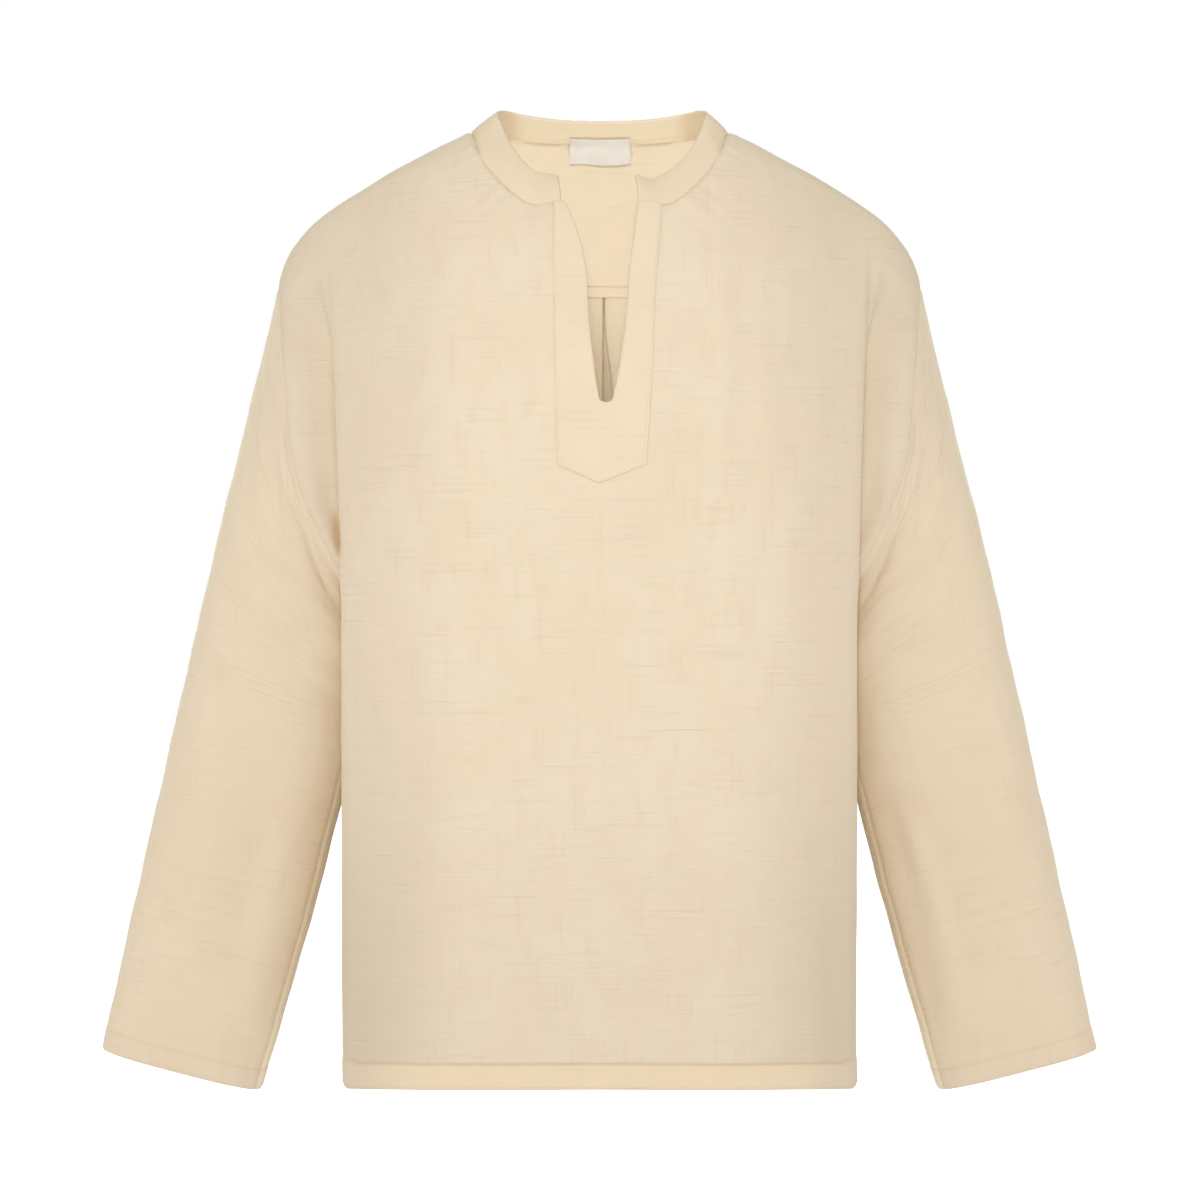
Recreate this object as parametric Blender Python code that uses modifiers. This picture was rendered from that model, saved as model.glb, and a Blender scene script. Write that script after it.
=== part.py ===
"""A pull-on tunic with a band collar, a V slit and long sleeves, filled out and hollow as it is worn.

Metres, +Z up, the front faces -Y. The origin lies midway between the two points where the
shoulder seams meet the collar. Each cut piece is one open sheet, given its thickness by Solidify.
"""

import bmesh
import bpy
import numpy as np

# Cloth
WALL = 0.0012
COLLAR_WALL = 0.0018
LABEL_WALL = 0.0010
SEAM_GAP = 0.0004
ARMPIT_GAP = 0.0008
LAYER_GAP = 0.0003
SEAM_LEAD = 0.003

# Body
HALF_WIDTH = 0.192
SIDE_EASE = 0.215
SIDE_POWER = 2.2
LIP_RADIUS = 0.004
SHOULDER_SEAM_Y = 0.004
HEM_Z = -0.7215
PLEAT_WAVE = 0.0035
PLEAT_FADE = (0.36, 0.72)
PLEAT_LOSS = 0.7
YOKE_NECK_X = 0.110
BACK_NECK_FALL = np.array((0.0, 0.62, -0.78))
SHOULDER_FALL = np.array((0.0, 1.0, 0.0))
SLOPE_STEP = 0.001
ROW_STEP = 0.001

# Where rows stand on the armhole (0 shoulder, 1 armpit) and on the side seam (1 armpit, 2 hem)
YOKE_END = 0.15
NECK_END = 0.22
SLIT_END = 0.58
PLACKET_END = 0.70
YOKE_ROWS = (0.0, 0.018, 0.055, 0.11, YOKE_END)
NECK_ROWS = (0.0, 0.018, 0.055, 0.11, 0.165, 0.195, NECK_END)
SLIT_ROWS = (0.29, 0.365, 0.44, 0.51, 0.545, SLIT_END)
CHEST_ROWS = (0.64, 0.70, 0.77, 0.84, 0.91, 0.96, 1.0)
BACK_ROWS = (YOKE_END, 0.22, 0.30, 0.38, 0.47, 0.56, 0.65, 0.74, 0.84, 0.91, 0.96, 1.0)
SIDE_ROWS = (1.012, 1.04, 1.10, 1.25, 1.45, 1.70, 2.0)
MAIN_STEPS = np.linspace(0.0, 1.0, 7)
BACK_STEPS = np.linspace(0.0, 1.0, 6)[1:]
TUCK_STEPS = np.array((0.07, 0.16, 0.36, 0.66))
NECK_STEPS = np.array((0.0, 0.35, 0.7, 1.25, 1.9, 2.6, 3.3, 4.0))
LABEL_STEPS = np.array((-0.5, -0.35, 0.0, 0.35, 0.5))
SLEEVE_STEPS = (0.12, 0.27, 0.48, 0.73, 1.0, 1.5, 2.0, 2.5, 3.0)


def table(names, *rows):
    """Named columns of numbers, read by their first column."""
    return dict(zip(names.split(), np.array(rows, float).T))


# The shoulder line, and inside the neck the height that the chest is measured down from
SHOULDER = table(
    "x z",
    (0.0000, 0.0130),
    (0.0500, 0.0100),
    (0.0985, 0.0010),
    (0.1180, -0.0070),
    (0.1490, -0.0217),
    (0.1770, -0.0370),
    (0.2020, -0.0522),
    (0.2215, -0.0670),
    (0.2355, -0.0850),
    (0.2425, -0.1000),
    (0.2465, -0.1155),
)

# How far the cloth stands forward and back, by its drop below the shoulder line
DEPTH = table(
    "drop front back",
    (0.000, 0.000, 0.000),
    (0.006, 0.016, 0.018),
    (0.015, 0.027, 0.034),
    (0.030, 0.040, 0.055),
    (0.050, 0.054, 0.073),
    (0.070, 0.066, 0.087),
    (0.100, 0.080, 0.103),
    (0.150, 0.097, 0.116),
    (0.210, 0.110, 0.120),
    (0.300, 0.119, 0.119),
    (0.450, 0.121, 0.115),
    (0.735, 0.118, 0.110),
)

# Neck seam and collar rim, from past the centre back (-1) over the side neck (4) to the slit (8)
NECK = table(
    "place x y z rim_x rim_y rim_z",
    (-1, -0.048, 0.068, -0.003, -0.035, 0.049, 0.0165),
    (0, 0.000, 0.074, -0.003, 0.000, 0.052, 0.0155),
    (1, 0.048, 0.068, -0.003, 0.035, 0.049, 0.0165),
    (2, 0.0810, 0.045, -0.001, 0.0620, 0.035, 0.0200),
    (3, 0.0955, 0.021, 0.0010, 0.0765, 0.016, 0.0220),
    (4, 0.0985, 0.004, 0.0010, 0.0805, -0.003, 0.0145),
    (5, 0.0905, -0.0300, -0.0195, 0.0735, -0.018, -0.0020),
    (6, 0.0756, -0.0480, -0.0404, 0.0644, -0.033, -0.0163),
    (7, 0.0520, -0.0630, -0.0585, 0.0505, -0.045, -0.0312),
    (8, 0.0295, -0.0635, -0.0565, 0.0322, -0.048, -0.0361),
)

# The last three points of the neck seam, from the slit outward
NECK_BESIDE_SLIT = (NECK["x"][:-4:-1], NECK["z"][:-4:-1])

# Where each front row starts: its place on the neck seam, then its height on slit and centre
NECK_START = table("row place", (0, 4), (0.018, 4.1), (0.055, 4.55), (0.165, 7.0), (0.195, 7.5), (0.22, 8))
FRONT_START = table(
    "row z",
    (0.220, -0.064),
    (0.290, -0.081),
    (0.365, -0.1095),
    (0.440, -0.146),
    (0.510, -0.1776),
    (0.545, -0.1933),
    (0.580, -0.2099),
    (0.700, -0.272),
    (1.000, -0.350),
    (2.000, HEM_Z),
)
BACK_START = table("row z", (0.15, -0.113), (0.30, -0.165), (0.65, -0.280), (1.0, -0.350), (2.0, HEM_Z))
CORNER_FADE = 0.005

# The slit's edges and the facing's outer edges, each measured outward on its own half
SLIT = table(
    "depth right left",
    (0.0565, 0.0280, 0.0295),
    (0.0810, 0.0169, 0.0267),
    (0.1095, 0.0109, 0.0229),
    (0.1460, 0.0086, 0.0206),
    (0.1776, 0.0049, 0.0161),
    (0.1933, 0.0026, 0.0131),
    (0.2030, -0.0004, 0.0101),
    (0.2099, -0.0045, 0.0045),
)
PLACKET_EDGE = table(
    "depth right left",
    (0.0565, 0.0340, 0.0472),
    (0.1280, 0.0335, 0.0412),
    (0.1810, 0.0325, 0.0392),
    (0.2569, 0.0308, 0.0345),
)
PLACKET_POINT_Z = -0.271
PLACKET_CORNER_Z = -0.2569
PLACKET_STEPS = 3
PLACKET_TAIL = (0.35, 0.7, 1.0)
PLACKET_TOP_INSET = 0.0008

# The fold that hangs in front of and behind each armhole: its lip, the valley behind it, how far it is made
FOLD = table(
    "row lip_x lip_z valley_x valley_y made",
    (0.000, 0.2110, -0.0605, 0.221, 0.000, 0.0),
    (0.018, 0.2110, -0.0605, 0.221, 0.000, 0.0),
    (0.100, 0.2075, -0.1060, 0.214, 0.030, 0.0),
    (0.220, 0.2035, -0.1520, 0.203, 0.058, 0.35),
    (0.365, 0.2000, -0.2050, 0.1935, 0.071, 0.9),
    (0.510, 0.1985, -0.2500, 0.190, 0.075, 1.0),
    (0.670, 0.1970, -0.3020, 0.186, 0.073, 1.0),
    (0.840, 0.1960, -0.3420, 0.178, 0.064, 1.0),
    (1.000, 0.1940, -0.3660, 0.170, 0.052, 1.0),
    (1.300, 0.1932, -0.4730, 0.172, 0.054, 1.0),
    (2.000, 0.1915, -0.7235, 0.184, 0.050, 1.0),
)
VALLEY_DROP = 2.5 * LIP_RADIUS
VALLEY_SPLAY = 0.2
TURN_HALF = 0.45
TURN_FALL = np.array((0.1, 0.2, 0.35))
SIDE_SEAM = table(
    "row x",
    (1.000, 0.1720),
    (1.012, 0.1672),
    (1.040, 0.1648),
    (1.100, 0.1642),
    (1.300, 0.1675),
    (1.500, 0.1730),
    (2.000, 0.1860),
)

# The armhole seam, and the way the cloth faces along it
ARMHOLE = table(
    "row x front back z face_x face_y face_z",
    (0.000, 0.2465, -0.004, 0.004, -0.1155, 0.975, 0.00, 0.22),
    (0.148, 0.2435, 0.030, 0.036, -0.1480, 0.75, 0.62, 0.20),
    (0.243, 0.2410, 0.046, 0.052, -0.1730, 0.55, 0.80, 0.15),
    (0.365, 0.2370, 0.060, 0.066, -0.2090, 0.35, 0.93, 0.05),
    (0.511, 0.2310, 0.069, 0.074, -0.2540, 0.22, 0.97, 0.00),
    (0.672, 0.2140, 0.066, 0.070, -0.3020, 0.12, 0.93, -0.30),
    (0.838, 0.1900, 0.044, 0.046, -0.3430, 0.00, 0.70, -0.70),
    (1.000, 0.1720, 0.000, 0.000, -0.3620, 0.00, 0.00, -1.00),
)

# Rings down the sleeve: its outer and inner edge, and half its depth
SLEEVE = table(
    "ring outer_x outer_z inner_x inner_z depth",
    (1.0, 0.2925, -0.3140, 0.1790, -0.4080, 0.070),
    (1.5, 0.3145, -0.4080, 0.1865, -0.4560, 0.066),
    (2.0, 0.3360, -0.5010, 0.2035, -0.5300, 0.056),
    (2.5, 0.3590, -0.6010, 0.2310, -0.6330, 0.043),
    (3.0, 0.3815, -0.7015, 0.2605, -0.7330, 0.028),
)
SLEEVE_ROUNDNESS = 0.90
SLEEVE_DOWN = np.array((0.23, 0.0, -0.97))
HANG_ROWS = (0.2, 0.9)
CUFF_BULGE = 0.005

# The box pleat below the yoke: folded flat at its top, opened to a soft fold further down
PLEAT = table(
    "step folded_x folded_y open_x open_y",
    (0, 0.0000, 0.0048, 0.0000, 1.0),
    (1, 0.0164, 0.0048, 0.0130, 0.6),
    (2, 0.0176, 0.0036, 0.0180, 0.2),
    (3, 0.0164, 0.0024, 0.0230, -0.2),
    (4, 0.0026, 0.0024, 0.0340, -0.6),
    (5, 0.0014, 0.0012, 0.0380, -0.5),
    (6, 0.0026, 0.0000, 0.0430, -0.3),
)
PLEAT_OPENING = table(
    "z open",
    (-0.7215, 1.0),
    (-0.3600, 1.0),
    (-0.2400, 0.6),
    (-0.1600, 0.15),
    (-0.1130, 0.0),
)

LABEL_RISE = 0.0065
LABEL_DROP = 0.0145
LABEL_GAP = 0.0006
LABEL_DOWN = np.array((0.0, 0.50, -0.866))
LABEL_INWARD = np.array((0.0, -0.72, -0.69))

CREAM = (0.84, 0.70, 0.52)
CREAM_SHADE = (0.80, 0.65, 0.47)
CREAM_WARM = (0.89, 0.74, 0.53)
OFF_WHITE = (0.88, 0.83, 0.72)


def cubic(before, after, before_slope, after_slope, share):
    """A cubic from one value or point to the next, with its slope at each end."""
    back = 1 - share
    near = (1 + 2 * share) * back**2 * before + share * back**2 * before_slope
    return near + share**2 * (3 - 2 * share) * after - share**2 * back * after_slope


def read(rows, column, at, flat_ends=False, overshoot=False):
    """A column's value between its rows, on a smooth curve that passes through each of them."""
    keys = next(iter(rows.values()))
    values = rows[column]
    step = np.diff(keys)
    rise = np.diff(values) / step
    middle = (rise[:-1] * step[1:] + rise[1:] * step[:-1]) / (step[:-1] + step[1:])
    if not overshoot:
        limit = 3 * np.minimum(abs(rise[:-1]), abs(rise[1:])) * (rise[:-1] * rise[1:] > 0)
        middle = np.clip(middle, -limit, limit)
    ends = 0 if flat_ends else 1
    slope = np.concatenate([rise[:1] * ends, middle, rise[-1:] * ends])
    at = np.clip(at, keys[0], keys[-1])
    k = np.clip(np.searchsorted(keys, at, side="right") - 1, 0, len(keys) - 2)
    share = (at - keys[k]) / step[k]
    return cubic(values[k], values[k + 1], slope[k] * step[k], slope[k + 1] * step[k], share)


def smoothstep(low, high, value):
    share = np.clip((value - low) / (high - low), 0, 1)
    return share * share * (3 - 2 * share)


def unit(vectors):
    return vectors / np.linalg.norm(vectors, axis=-1, keepdims=True)


def points(x, y, z):
    return np.stack(np.broadcast_arrays(x, y, z), axis=-1).astype(float)


def mirrored(grid, sign_x, sign_y=1):
    return grid * np.array((sign_x, sign_y, 1.0))


def body_depth(face, x, z):
    """How far the front or the back stands from the shoulder line at this place."""
    drop = np.maximum(read(SHOULDER, "z", abs(x)) - z, 0)
    return read(DEPTH, face, drop) * (1 - SIDE_EASE * (abs(x) / HALF_WIDTH) ** SIDE_POWER)


def neck_seam(place):
    return points(*(read(NECK, name, place, overshoot=True) for name in ("x", "y", "z")))


def collar_rim(place):
    return points(*(read(NECK, name, place, overshoot=True) for name in ("rim_x", "rim_y", "rim_z")))


def armhole(row, face):
    """A point of the armhole seam at +X, the way the cloth crosses it, and the way the sleeve leaves it."""

    def place(at):
        x = read(ARMHOLE, "x", at, flat_ends=True)
        z = read(ARMHOLE, "z", at, flat_ends=True)
        return points(x, -read(ARMHOLE, face, at), z)

    along = unit(place(np.minimum(row + ROW_STEP, 1.0)) - place(np.maximum(row - ROW_STEP, 0.0)))
    facing = points(read(ARMHOLE, "face_x", row), -read(ARMHOLE, "face_y", row), read(ARMHOLE, "face_z", row))
    across = unit(np.cross(facing, along))
    hanging = unit(SLEEVE_DOWN - facing * (facing @ SLEEVE_DOWN) / (facing @ facing))
    hang = 1 - smoothstep(*HANG_ROWS, row)
    down = unit(across + (hanging - across) * hang)
    sign_y = 1 if face == "front" else -1
    return [mirrored(part, 1, sign_y) for part in (place(row), across, down)]


def outer_end(row, face):
    """The row's last point, on the armhole or the side seam, and the way the cloth arrives there."""
    if row < 1:
        return armhole(row, face)[:2]
    toward_seam = 1.0 if face == "front" else -1.0
    armpit_z = ARMHOLE["z"][-1]
    end = points(read(SIDE_SEAM, "x", row), 0.0, armpit_z + (row - 1) * (HEM_Z - armpit_z))
    corner = np.array((1.0, toward_seam, 0.0)) if row == 1 else np.array((0.0, toward_seam, 0.0))
    return end, unit(corner)


def row_height(row, x, start_x, start_z):
    """A row's height at x: it follows the shoulder line near the top and runs level further down."""
    lip_x = read(FOLD, "lip_x", row) - LIP_RADIUS
    lip_z = read(FOLD, "lip_z", row)
    share = (x - start_x) / (lip_x - start_x)
    start_drop = read(SHOULDER, "z", abs(start_x)) - start_z
    lip_drop = read(SHOULDER, "z", lip_x) - lip_z
    following = read(SHOULDER, "z", abs(x)) - (start_drop + (lip_drop - start_drop) * share)
    level = start_z + (lip_z - start_z) * share
    return following + (level - following) * smoothstep(0, 1, row)


def tuck(row, face, last_main):
    """From the lip of the fold round to the seam, ending in a short straight lead."""
    toward_front = -1.0 if face == "front" else 1.0
    end, arriving = outer_end(row, face)
    lead = end - arriving * SEAM_LEAD
    lip_x = read(FOLD, "lip_x", row)
    made = read(FOLD, "made", row)
    reach = np.linalg.norm(lead - last_main)
    fall = (read(SHOULDER, "z", lip_x) - read(SHOULDER, "z", lip_x - SLOPE_STEP)) / SLOPE_STEP
    leaving = unit(np.array((1.0, 0.0, fall)))
    share = TUCK_STEPS[:, None]
    plain = cubic(last_main, lead, leaving * reach, arriving * reach, share)
    lip_depth = abs(last_main[1])
    valley_x = read(FOLD, "valley_x", row)
    valley_depth = np.minimum(read(FOLD, "valley_y", row), lip_depth - VALLEY_DROP)
    back_x = valley_x + TURN_HALF * (lip_x - valley_x)
    back_depth = lip_depth - TURN_HALF * (lip_depth - valley_depth)
    turn_x = np.array((lip_x, back_x, valley_x))
    turn_depth = np.array((lip_depth - LIP_RADIUS, back_depth, valley_depth))
    turn_z = last_main[2] + (lead[2] - last_main[2]) * TURN_FALL
    turn = points(turn_x, toward_front * turn_depth, turn_z)
    valley_way = unit(np.array((VALLEY_SPLAY, -toward_front, 0.0))) * np.linalg.norm(lead - turn[2])
    run_in = cubic(turn[2], lead, valley_way, arriving * np.linalg.norm(lead - turn[2]), 0.5)
    folded = np.vstack([turn, run_in])
    return np.vstack([plain + (folded - plain) * made, lead, end])


def front_start(row, half):
    """The first point of a front row, and the height that the rest of the row sets out from."""
    if row <= NECK_END:
        edge = neck_seam(read(NECK_START, "place", row))
        start_z = read(FRONT_START, "z", row) if row == NECK_END else edge[2]
        return edge, start_z
    start_z = read(FRONT_START, "z", row)
    fade = 1 - smoothstep(SLIT_END, PLACKET_END, row)
    x = read(SLIT, half, -start_z) * fade
    return points(x, -body_depth("front", x, start_z), start_z), start_z


def front_row(row, half):
    """One row of half the front, from neckline, slit or centre to armhole or side seam, at +X."""
    edge, start_z = front_start(row, half)
    lip_x = read(FOLD, "lip_x", row) - LIP_RADIUS
    x = edge[0] + (lip_x - edge[0]) * MAIN_STEPS
    z = row_height(row, x, edge[0], start_z)
    z = z + (edge[2] - start_z) * np.exp((edge[0] - x) / CORNER_FADE)
    main = points(x, -body_depth("front", x, z), z)
    if row == 0:
        main[:, 1] = SHOULDER_SEAM_Y
    main[0] = edge
    return np.vstack([main, tuck(row, "front", main[-1])])


def back_surface(row, x):
    start_z = read(BACK_START, "z", row)
    lip_x = read(FOLD, "lip_x", row) - LIP_RADIUS
    z = start_z + (read(FOLD, "lip_z", row) - start_z) * (x / lip_x) ** 2
    return points(x, body_depth("back", x, z), z)


def pleat_row(row):
    """The pleat from the centre outward, between folded and open."""
    z = read(BACK_START, "z", row)
    opened = read(PLEAT_OPENING, "open", z)
    x = PLEAT["folded_x"] + (PLEAT["open_x"] - PLEAT["folded_x"]) * opened
    surface = back_surface(row, x)
    fade = 1 - PLEAT_LOSS * smoothstep(*PLEAT_FADE, -z)
    wave = PLEAT["open_y"] * PLEAT_WAVE * fade
    surface[:, 1] += PLEAT["folded_y"] + (wave - PLEAT["folded_y"]) * opened
    return surface


def back_row(row):
    """One row of half the back, from the centre to armhole or side seam, at +X."""
    pleat = pleat_row(row)
    lip_x = read(FOLD, "lip_x", row) - LIP_RADIUS
    x = pleat[-1, 0] + (lip_x - pleat[-1, 0]) * BACK_STEPS
    main = back_surface(row, x)
    return np.vstack([pleat, main, tuck(row, "back", main[-1])])


def yoke_grid():
    """Half the yoke at +X: rows from neckline and shoulder seam down to the yoke seam."""
    neck = neck_seam(NECK_STEPS)
    shoulder = front_row(0.0, "left")[: len(MAIN_STEPS)]
    top = np.vstack([neck[:-1], shoulder])
    lip_x = read(FOLD, "lip_x", YOKE_END) - LIP_RADIUS
    under_neck = YOKE_NECK_X * NECK_STEPS[:-1] / NECK_STEPS[-1]
    under_shoulder = YOKE_NECK_X + (lip_x - YOKE_NECK_X) * MAIN_STEPS
    low_x = np.concatenate([under_neck, under_shoulder])
    low = back_surface(YOKE_END, low_x)
    reach = np.linalg.norm(low - top, axis=1, keepdims=True)
    over = np.clip(low_x / YOKE_NECK_X, 0, 1)[:, None]
    leaving = unit(BACK_NECK_FALL + (SHOULDER_FALL - BACK_NECK_FALL) * over) * reach
    below = low[:, 2] - SLOPE_STEP
    falling = points(0.0, body_depth("back", low_x, below) - low[:, 1], -SLOPE_STEP)
    arriving = unit(falling) * reach
    rows = []
    for row in YOKE_ROWS:
        main = cubic(top, low, leaving, arriving, row / YOKE_END)
        rows.append(np.vstack([main, tuck(row, "back", main[-1])]))
    return np.array(rows)


def sleeve_ring_places():
    """The armhole's points all round, as the panels have them: forward down the front, back up the back."""
    front = [(row, "front") for row in NECK_ROWS + SLIT_ROWS + CHEST_ROWS]
    back = [(row, "back") for row in YOKE_ROWS + BACK_ROWS[1:]]
    return front + back[-2:0:-1]


def sleeve_tube(ring, angle):
    """A point of the sleeve below the armhole. Angle 0 is its outer edge, a quarter turn its front."""
    outer = points(read(SLEEVE, "outer_x", ring), 0.0, read(SLEEVE, "outer_z", ring))
    inner = points(read(SLEEVE, "inner_x", ring), 0.0, read(SLEEVE, "inner_z", ring))
    side = np.sign(np.cos(angle)) * abs(np.cos(angle)) ** SLEEVE_ROUNDNESS
    depth = np.sign(np.sin(angle)) * abs(np.sin(angle)) ** SLEEVE_ROUNDNESS
    across = (outer - inner) / 2
    point = (outer + inner) / 2 + across * side + points(0.0, -read(SLEEVE, "depth", ring) * depth, 0.0)
    down = unit(np.array((across[2], 0.0, -across[0])))
    bulge = CUFF_BULGE * smoothstep(2.5, 3.0, ring) * (1 - np.cos(angle) ** 2)
    return point + down * bulge


def sleeve_grid():
    """One sleeve at +X: each column leaves the armhole across its seam and joins the tube's rings."""
    places = sleeve_ring_places()
    ends = [armhole(np.float64(row), face) for row, face in places]
    ring, across, leaving = (np.array(part) for part in zip(*ends))
    pieces = np.linalg.norm(np.roll(ring, -1, axis=0) - ring, axis=1)
    run = np.concatenate([[0], np.cumsum(pieces)])
    pit = places.index((1.0, "front"))
    to_pit = run[: pit + 1] / run[pit]
    from_pit = (run[pit + 1 : -1] - run[pit]) / (run[-1] - run[pit])
    angles = np.pi * np.concatenate([to_pit, 1 + from_pit])
    joined = np.array([sleeve_tube(1.0, angle) for angle in angles])
    passed = np.array([sleeve_tube(1.1, angle) for angle in angles])
    lead = ring + leaving * SEAM_LEAD
    reach = np.linalg.norm(joined - lead, axis=1, keepdims=True)
    edge = ring + across * armpit_widened([row for row, _ in places])
    rows = [edge, lead]
    for step in SLEEVE_STEPS:
        if step < 1:
            rows.append(cubic(lead, joined, leaving * reach, unit(passed - joined) * reach, step))
        else:
            rows.append(np.array([sleeve_tube(step, angle) for angle in angles]))
    return np.array(rows)


def collar_grid():
    """The band all round, its rows from the neck seam up to the rim, from slit to slit."""
    places = np.concatenate([NECK_STEPS, read(NECK_START, "place", np.array(NECK_ROWS[1:]))])
    seam = neck_seam(places)
    rim = collar_rim(places)
    seam = np.vstack([mirrored(seam[:0:-1], -1), seam])
    rim = np.vstack([mirrored(rim[:0:-1], -1), rim])
    return np.array([seam + (rim - seam) * share for share in (0.0, 0.5, 1.0)])


def surface_normal(x, z):
    """The way the chest faces at this place, from its slopes."""
    aside = body_depth("front", x + SLOPE_STEP, z) - body_depth("front", x - SLOPE_STEP, z)
    above = body_depth("front", x, z + SLOPE_STEP) - body_depth("front", x, z - SLOPE_STEP)
    slope_x = aside / (2 * SLOPE_STEP)
    slope_z = above / (2 * SLOPE_STEP)
    return -unit(points(slope_x, 1.0, slope_z))


def placket_half(half):
    """Half the slit's facing at +X, laid on the front and moved out by its thickness and a gap."""
    rows = []
    for row in (NECK_END,) + SLIT_ROWS:
        edge, start_z = front_start(row, half)
        outer = read(PLACKET_EDGE, half, -edge[2])
        x = np.linspace(edge[0], outer, PLACKET_STEPS + 1)
        z = np.full(len(x), edge[2])
        if row == NECK_END:
            z = np.interp(x, *NECK_BESIDE_SLIT) - PLACKET_TOP_INSET
        rows.append((x, z))
    slit_x, slit_z = rows[-1]
    outer = read(PLACKET_EDGE, half, -PLACKET_CORNER_Z)
    low_z = np.linspace(PLACKET_POINT_Z, PLACKET_CORNER_Z, PLACKET_STEPS + 1)
    for share in PLACKET_TAIL:
        inner = slit_x[0] * (1 - share)
        x = np.linspace(inner, slit_x[-1] + (outer - slit_x[-1]) * share, PLACKET_STEPS + 1)
        rows.append((x, slit_z + (low_z - slit_z) * share))
    x = np.array([row[0] for row in rows])
    z = np.array([row[1] for row in rows])
    laid = points(x, -body_depth("front", x, z), z)
    return laid + surface_normal(x, z) * (WALL + LAYER_GAP)


def label_grid():
    """The neck label: sewn on above the neck seam, it lies inside the collar and hangs off the yoke."""
    side = np.sign(LABEL_STEPS)[:, None] * np.array((1.0, 0.0, 0.0)) + np.array((0.0, 1.0, 1.0))
    side[LABEL_STEPS == 0] = 1.0
    seam = neck_seam(abs(LABEL_STEPS)) * side
    rim = collar_rim(abs(LABEL_STEPS)) * side
    up = unit((rim - seam) * np.array((0.0, 1.0, 1.0)))
    off_collar = LABEL_INWARD * ((COLLAR_WALL + LABEL_WALL) / 2 + LABEL_GAP)
    rise = seam + up * LABEL_RISE
    drop = LABEL_DOWN * LABEL_DROP
    rows = (rise, seam, seam + drop / 2, seam + drop)
    return np.array(rows) + off_collar


def toward(edge, inner, distance):
    return edge + unit(inner - edge) * distance


def set_back(grid, first_row=0.0, last_row=0.0, first_column=0.0, last_column=0.0):
    """The grid with the named edges drawn in along the sheet, to leave the seams' gaps."""
    grid = grid.copy()
    if np.any(first_column):
        grid[:, 0] = toward(grid[:, 0], grid[:, 1], first_column)
    if np.any(last_column):
        grid[:, -1] = toward(grid[:, -1], grid[:, -2], last_column)
    if np.any(first_row):
        grid[0] = toward(grid[0], grid[1], first_row)
    if np.any(last_row):
        grid[-1] = toward(grid[-1], grid[-2], last_row)
    return grid


def armpit_widened(rows):
    """Half the seam's gap at each row, wider next to the armpit, where three pieces turn."""
    near = 1 - smoothstep(0.0, 0.1, abs(np.array(rows) - 1))
    return (SEAM_GAP + (ARMPIT_GAP - SEAM_GAP) * near)[:, None] / 2


def sheet_mesh(name, grids, closed=False):
    """One mesh from grids of points whose shared edges are welded."""
    mesh = bpy.data.meshes.new(name)
    shape = bmesh.new()
    for grid in grids:
        rows, columns = grid.shape[:2]
        corners = [[shape.verts.new(point) for point in row] for row in grid]
        for r in range(rows - 1):
            for c in range(columns if closed else columns - 1):
                d = (c + 1) % columns
                shape.faces.new((corners[r][c], corners[r][d], corners[r + 1][d], corners[r + 1][c]))
    bmesh.ops.remove_doubles(shape, verts=shape.verts, dist=0.00002)
    bmesh.ops.recalc_face_normals(shape, faces=shape.faces)
    shape.to_mesh(mesh)
    shape.free()
    return mesh


def material(name, colour, roughness):
    made = bpy.data.materials.new(name)
    made.use_nodes = True
    shader = made.node_tree.nodes["Principled BSDF"]
    shader.inputs["Base Color"].default_value = (*colour, 1.0)
    shader.inputs["Roughness"].default_value = roughness
    shader.inputs["Metallic"].default_value = 0.0
    return made


def add_cloth(collection, name, grids, thickness, colour, roughness=0.9, closed=False):
    """A named piece of cloth: its sheet and an even wall on both sides of it."""
    mesh = sheet_mesh(name, grids, closed)
    piece = bpy.data.objects.new(name, mesh)
    mesh.materials.append(material(name + "_cloth", colour, roughness))
    mesh.shade_smooth()
    wall = piece.modifiers.new("Wall", "SOLIDIFY")
    wall.thickness = thickness
    wall.offset = 0.0
    wall.use_even_offset = False
    collection.objects.link(piece)
    return piece


def add_front(collection):
    rows = NECK_ROWS + SLIT_ROWS + CHEST_ROWS + SIDE_ROWS
    neck = np.array([SEAM_GAP / 2 if row <= NECK_END else 0.0 for row in rows])[:, None]
    halves = []
    for half, sign in (("right", -1), ("left", 1)):
        grid = np.array([front_row(row, half) for row in rows])
        grid = set_back(grid, SEAM_GAP / 2, 0.0, neck, armpit_widened(rows))
        halves.append(mirrored(grid, sign))
    add_cloth(collection, "front", halves, WALL, CREAM)


def add_back(collection):
    rows = BACK_ROWS + SIDE_ROWS
    grid = np.array([back_row(row) for row in rows])
    grid = set_back(grid, SEAM_GAP / 2, 0.0, 0.0, armpit_widened(rows))
    add_cloth(collection, "back", [mirrored(grid, -1), grid], WALL, CREAM)


def add_yoke(collection):
    grid = set_back(yoke_grid(), SEAM_GAP / 2, SEAM_GAP / 2, 0.0, SEAM_GAP / 2)
    add_cloth(collection, "back_yoke", [mirrored(grid, -1), grid], WALL, CREAM)


def add_sleeves(collection):
    grid = sleeve_grid()
    for name, sign in (("sleeve_right", -1), ("sleeve_left", 1)):
        add_cloth(collection, name, [mirrored(grid, sign)], WALL, CREAM_SHADE, closed=True)


def add_collar(collection):
    grid = set_back(collar_grid(), SEAM_GAP)
    add_cloth(collection, "collar_band", [grid], COLLAR_WALL, CREAM_WARM)


def add_placket(collection):
    halves = [mirrored(placket_half("right"), -1), placket_half("left")]
    add_cloth(collection, "placket_facing", halves, WALL, CREAM_WARM)


def add_label(collection):
    add_cloth(collection, "neck_label", [label_grid()], LABEL_WALL, OFF_WHITE, 0.7)


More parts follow.
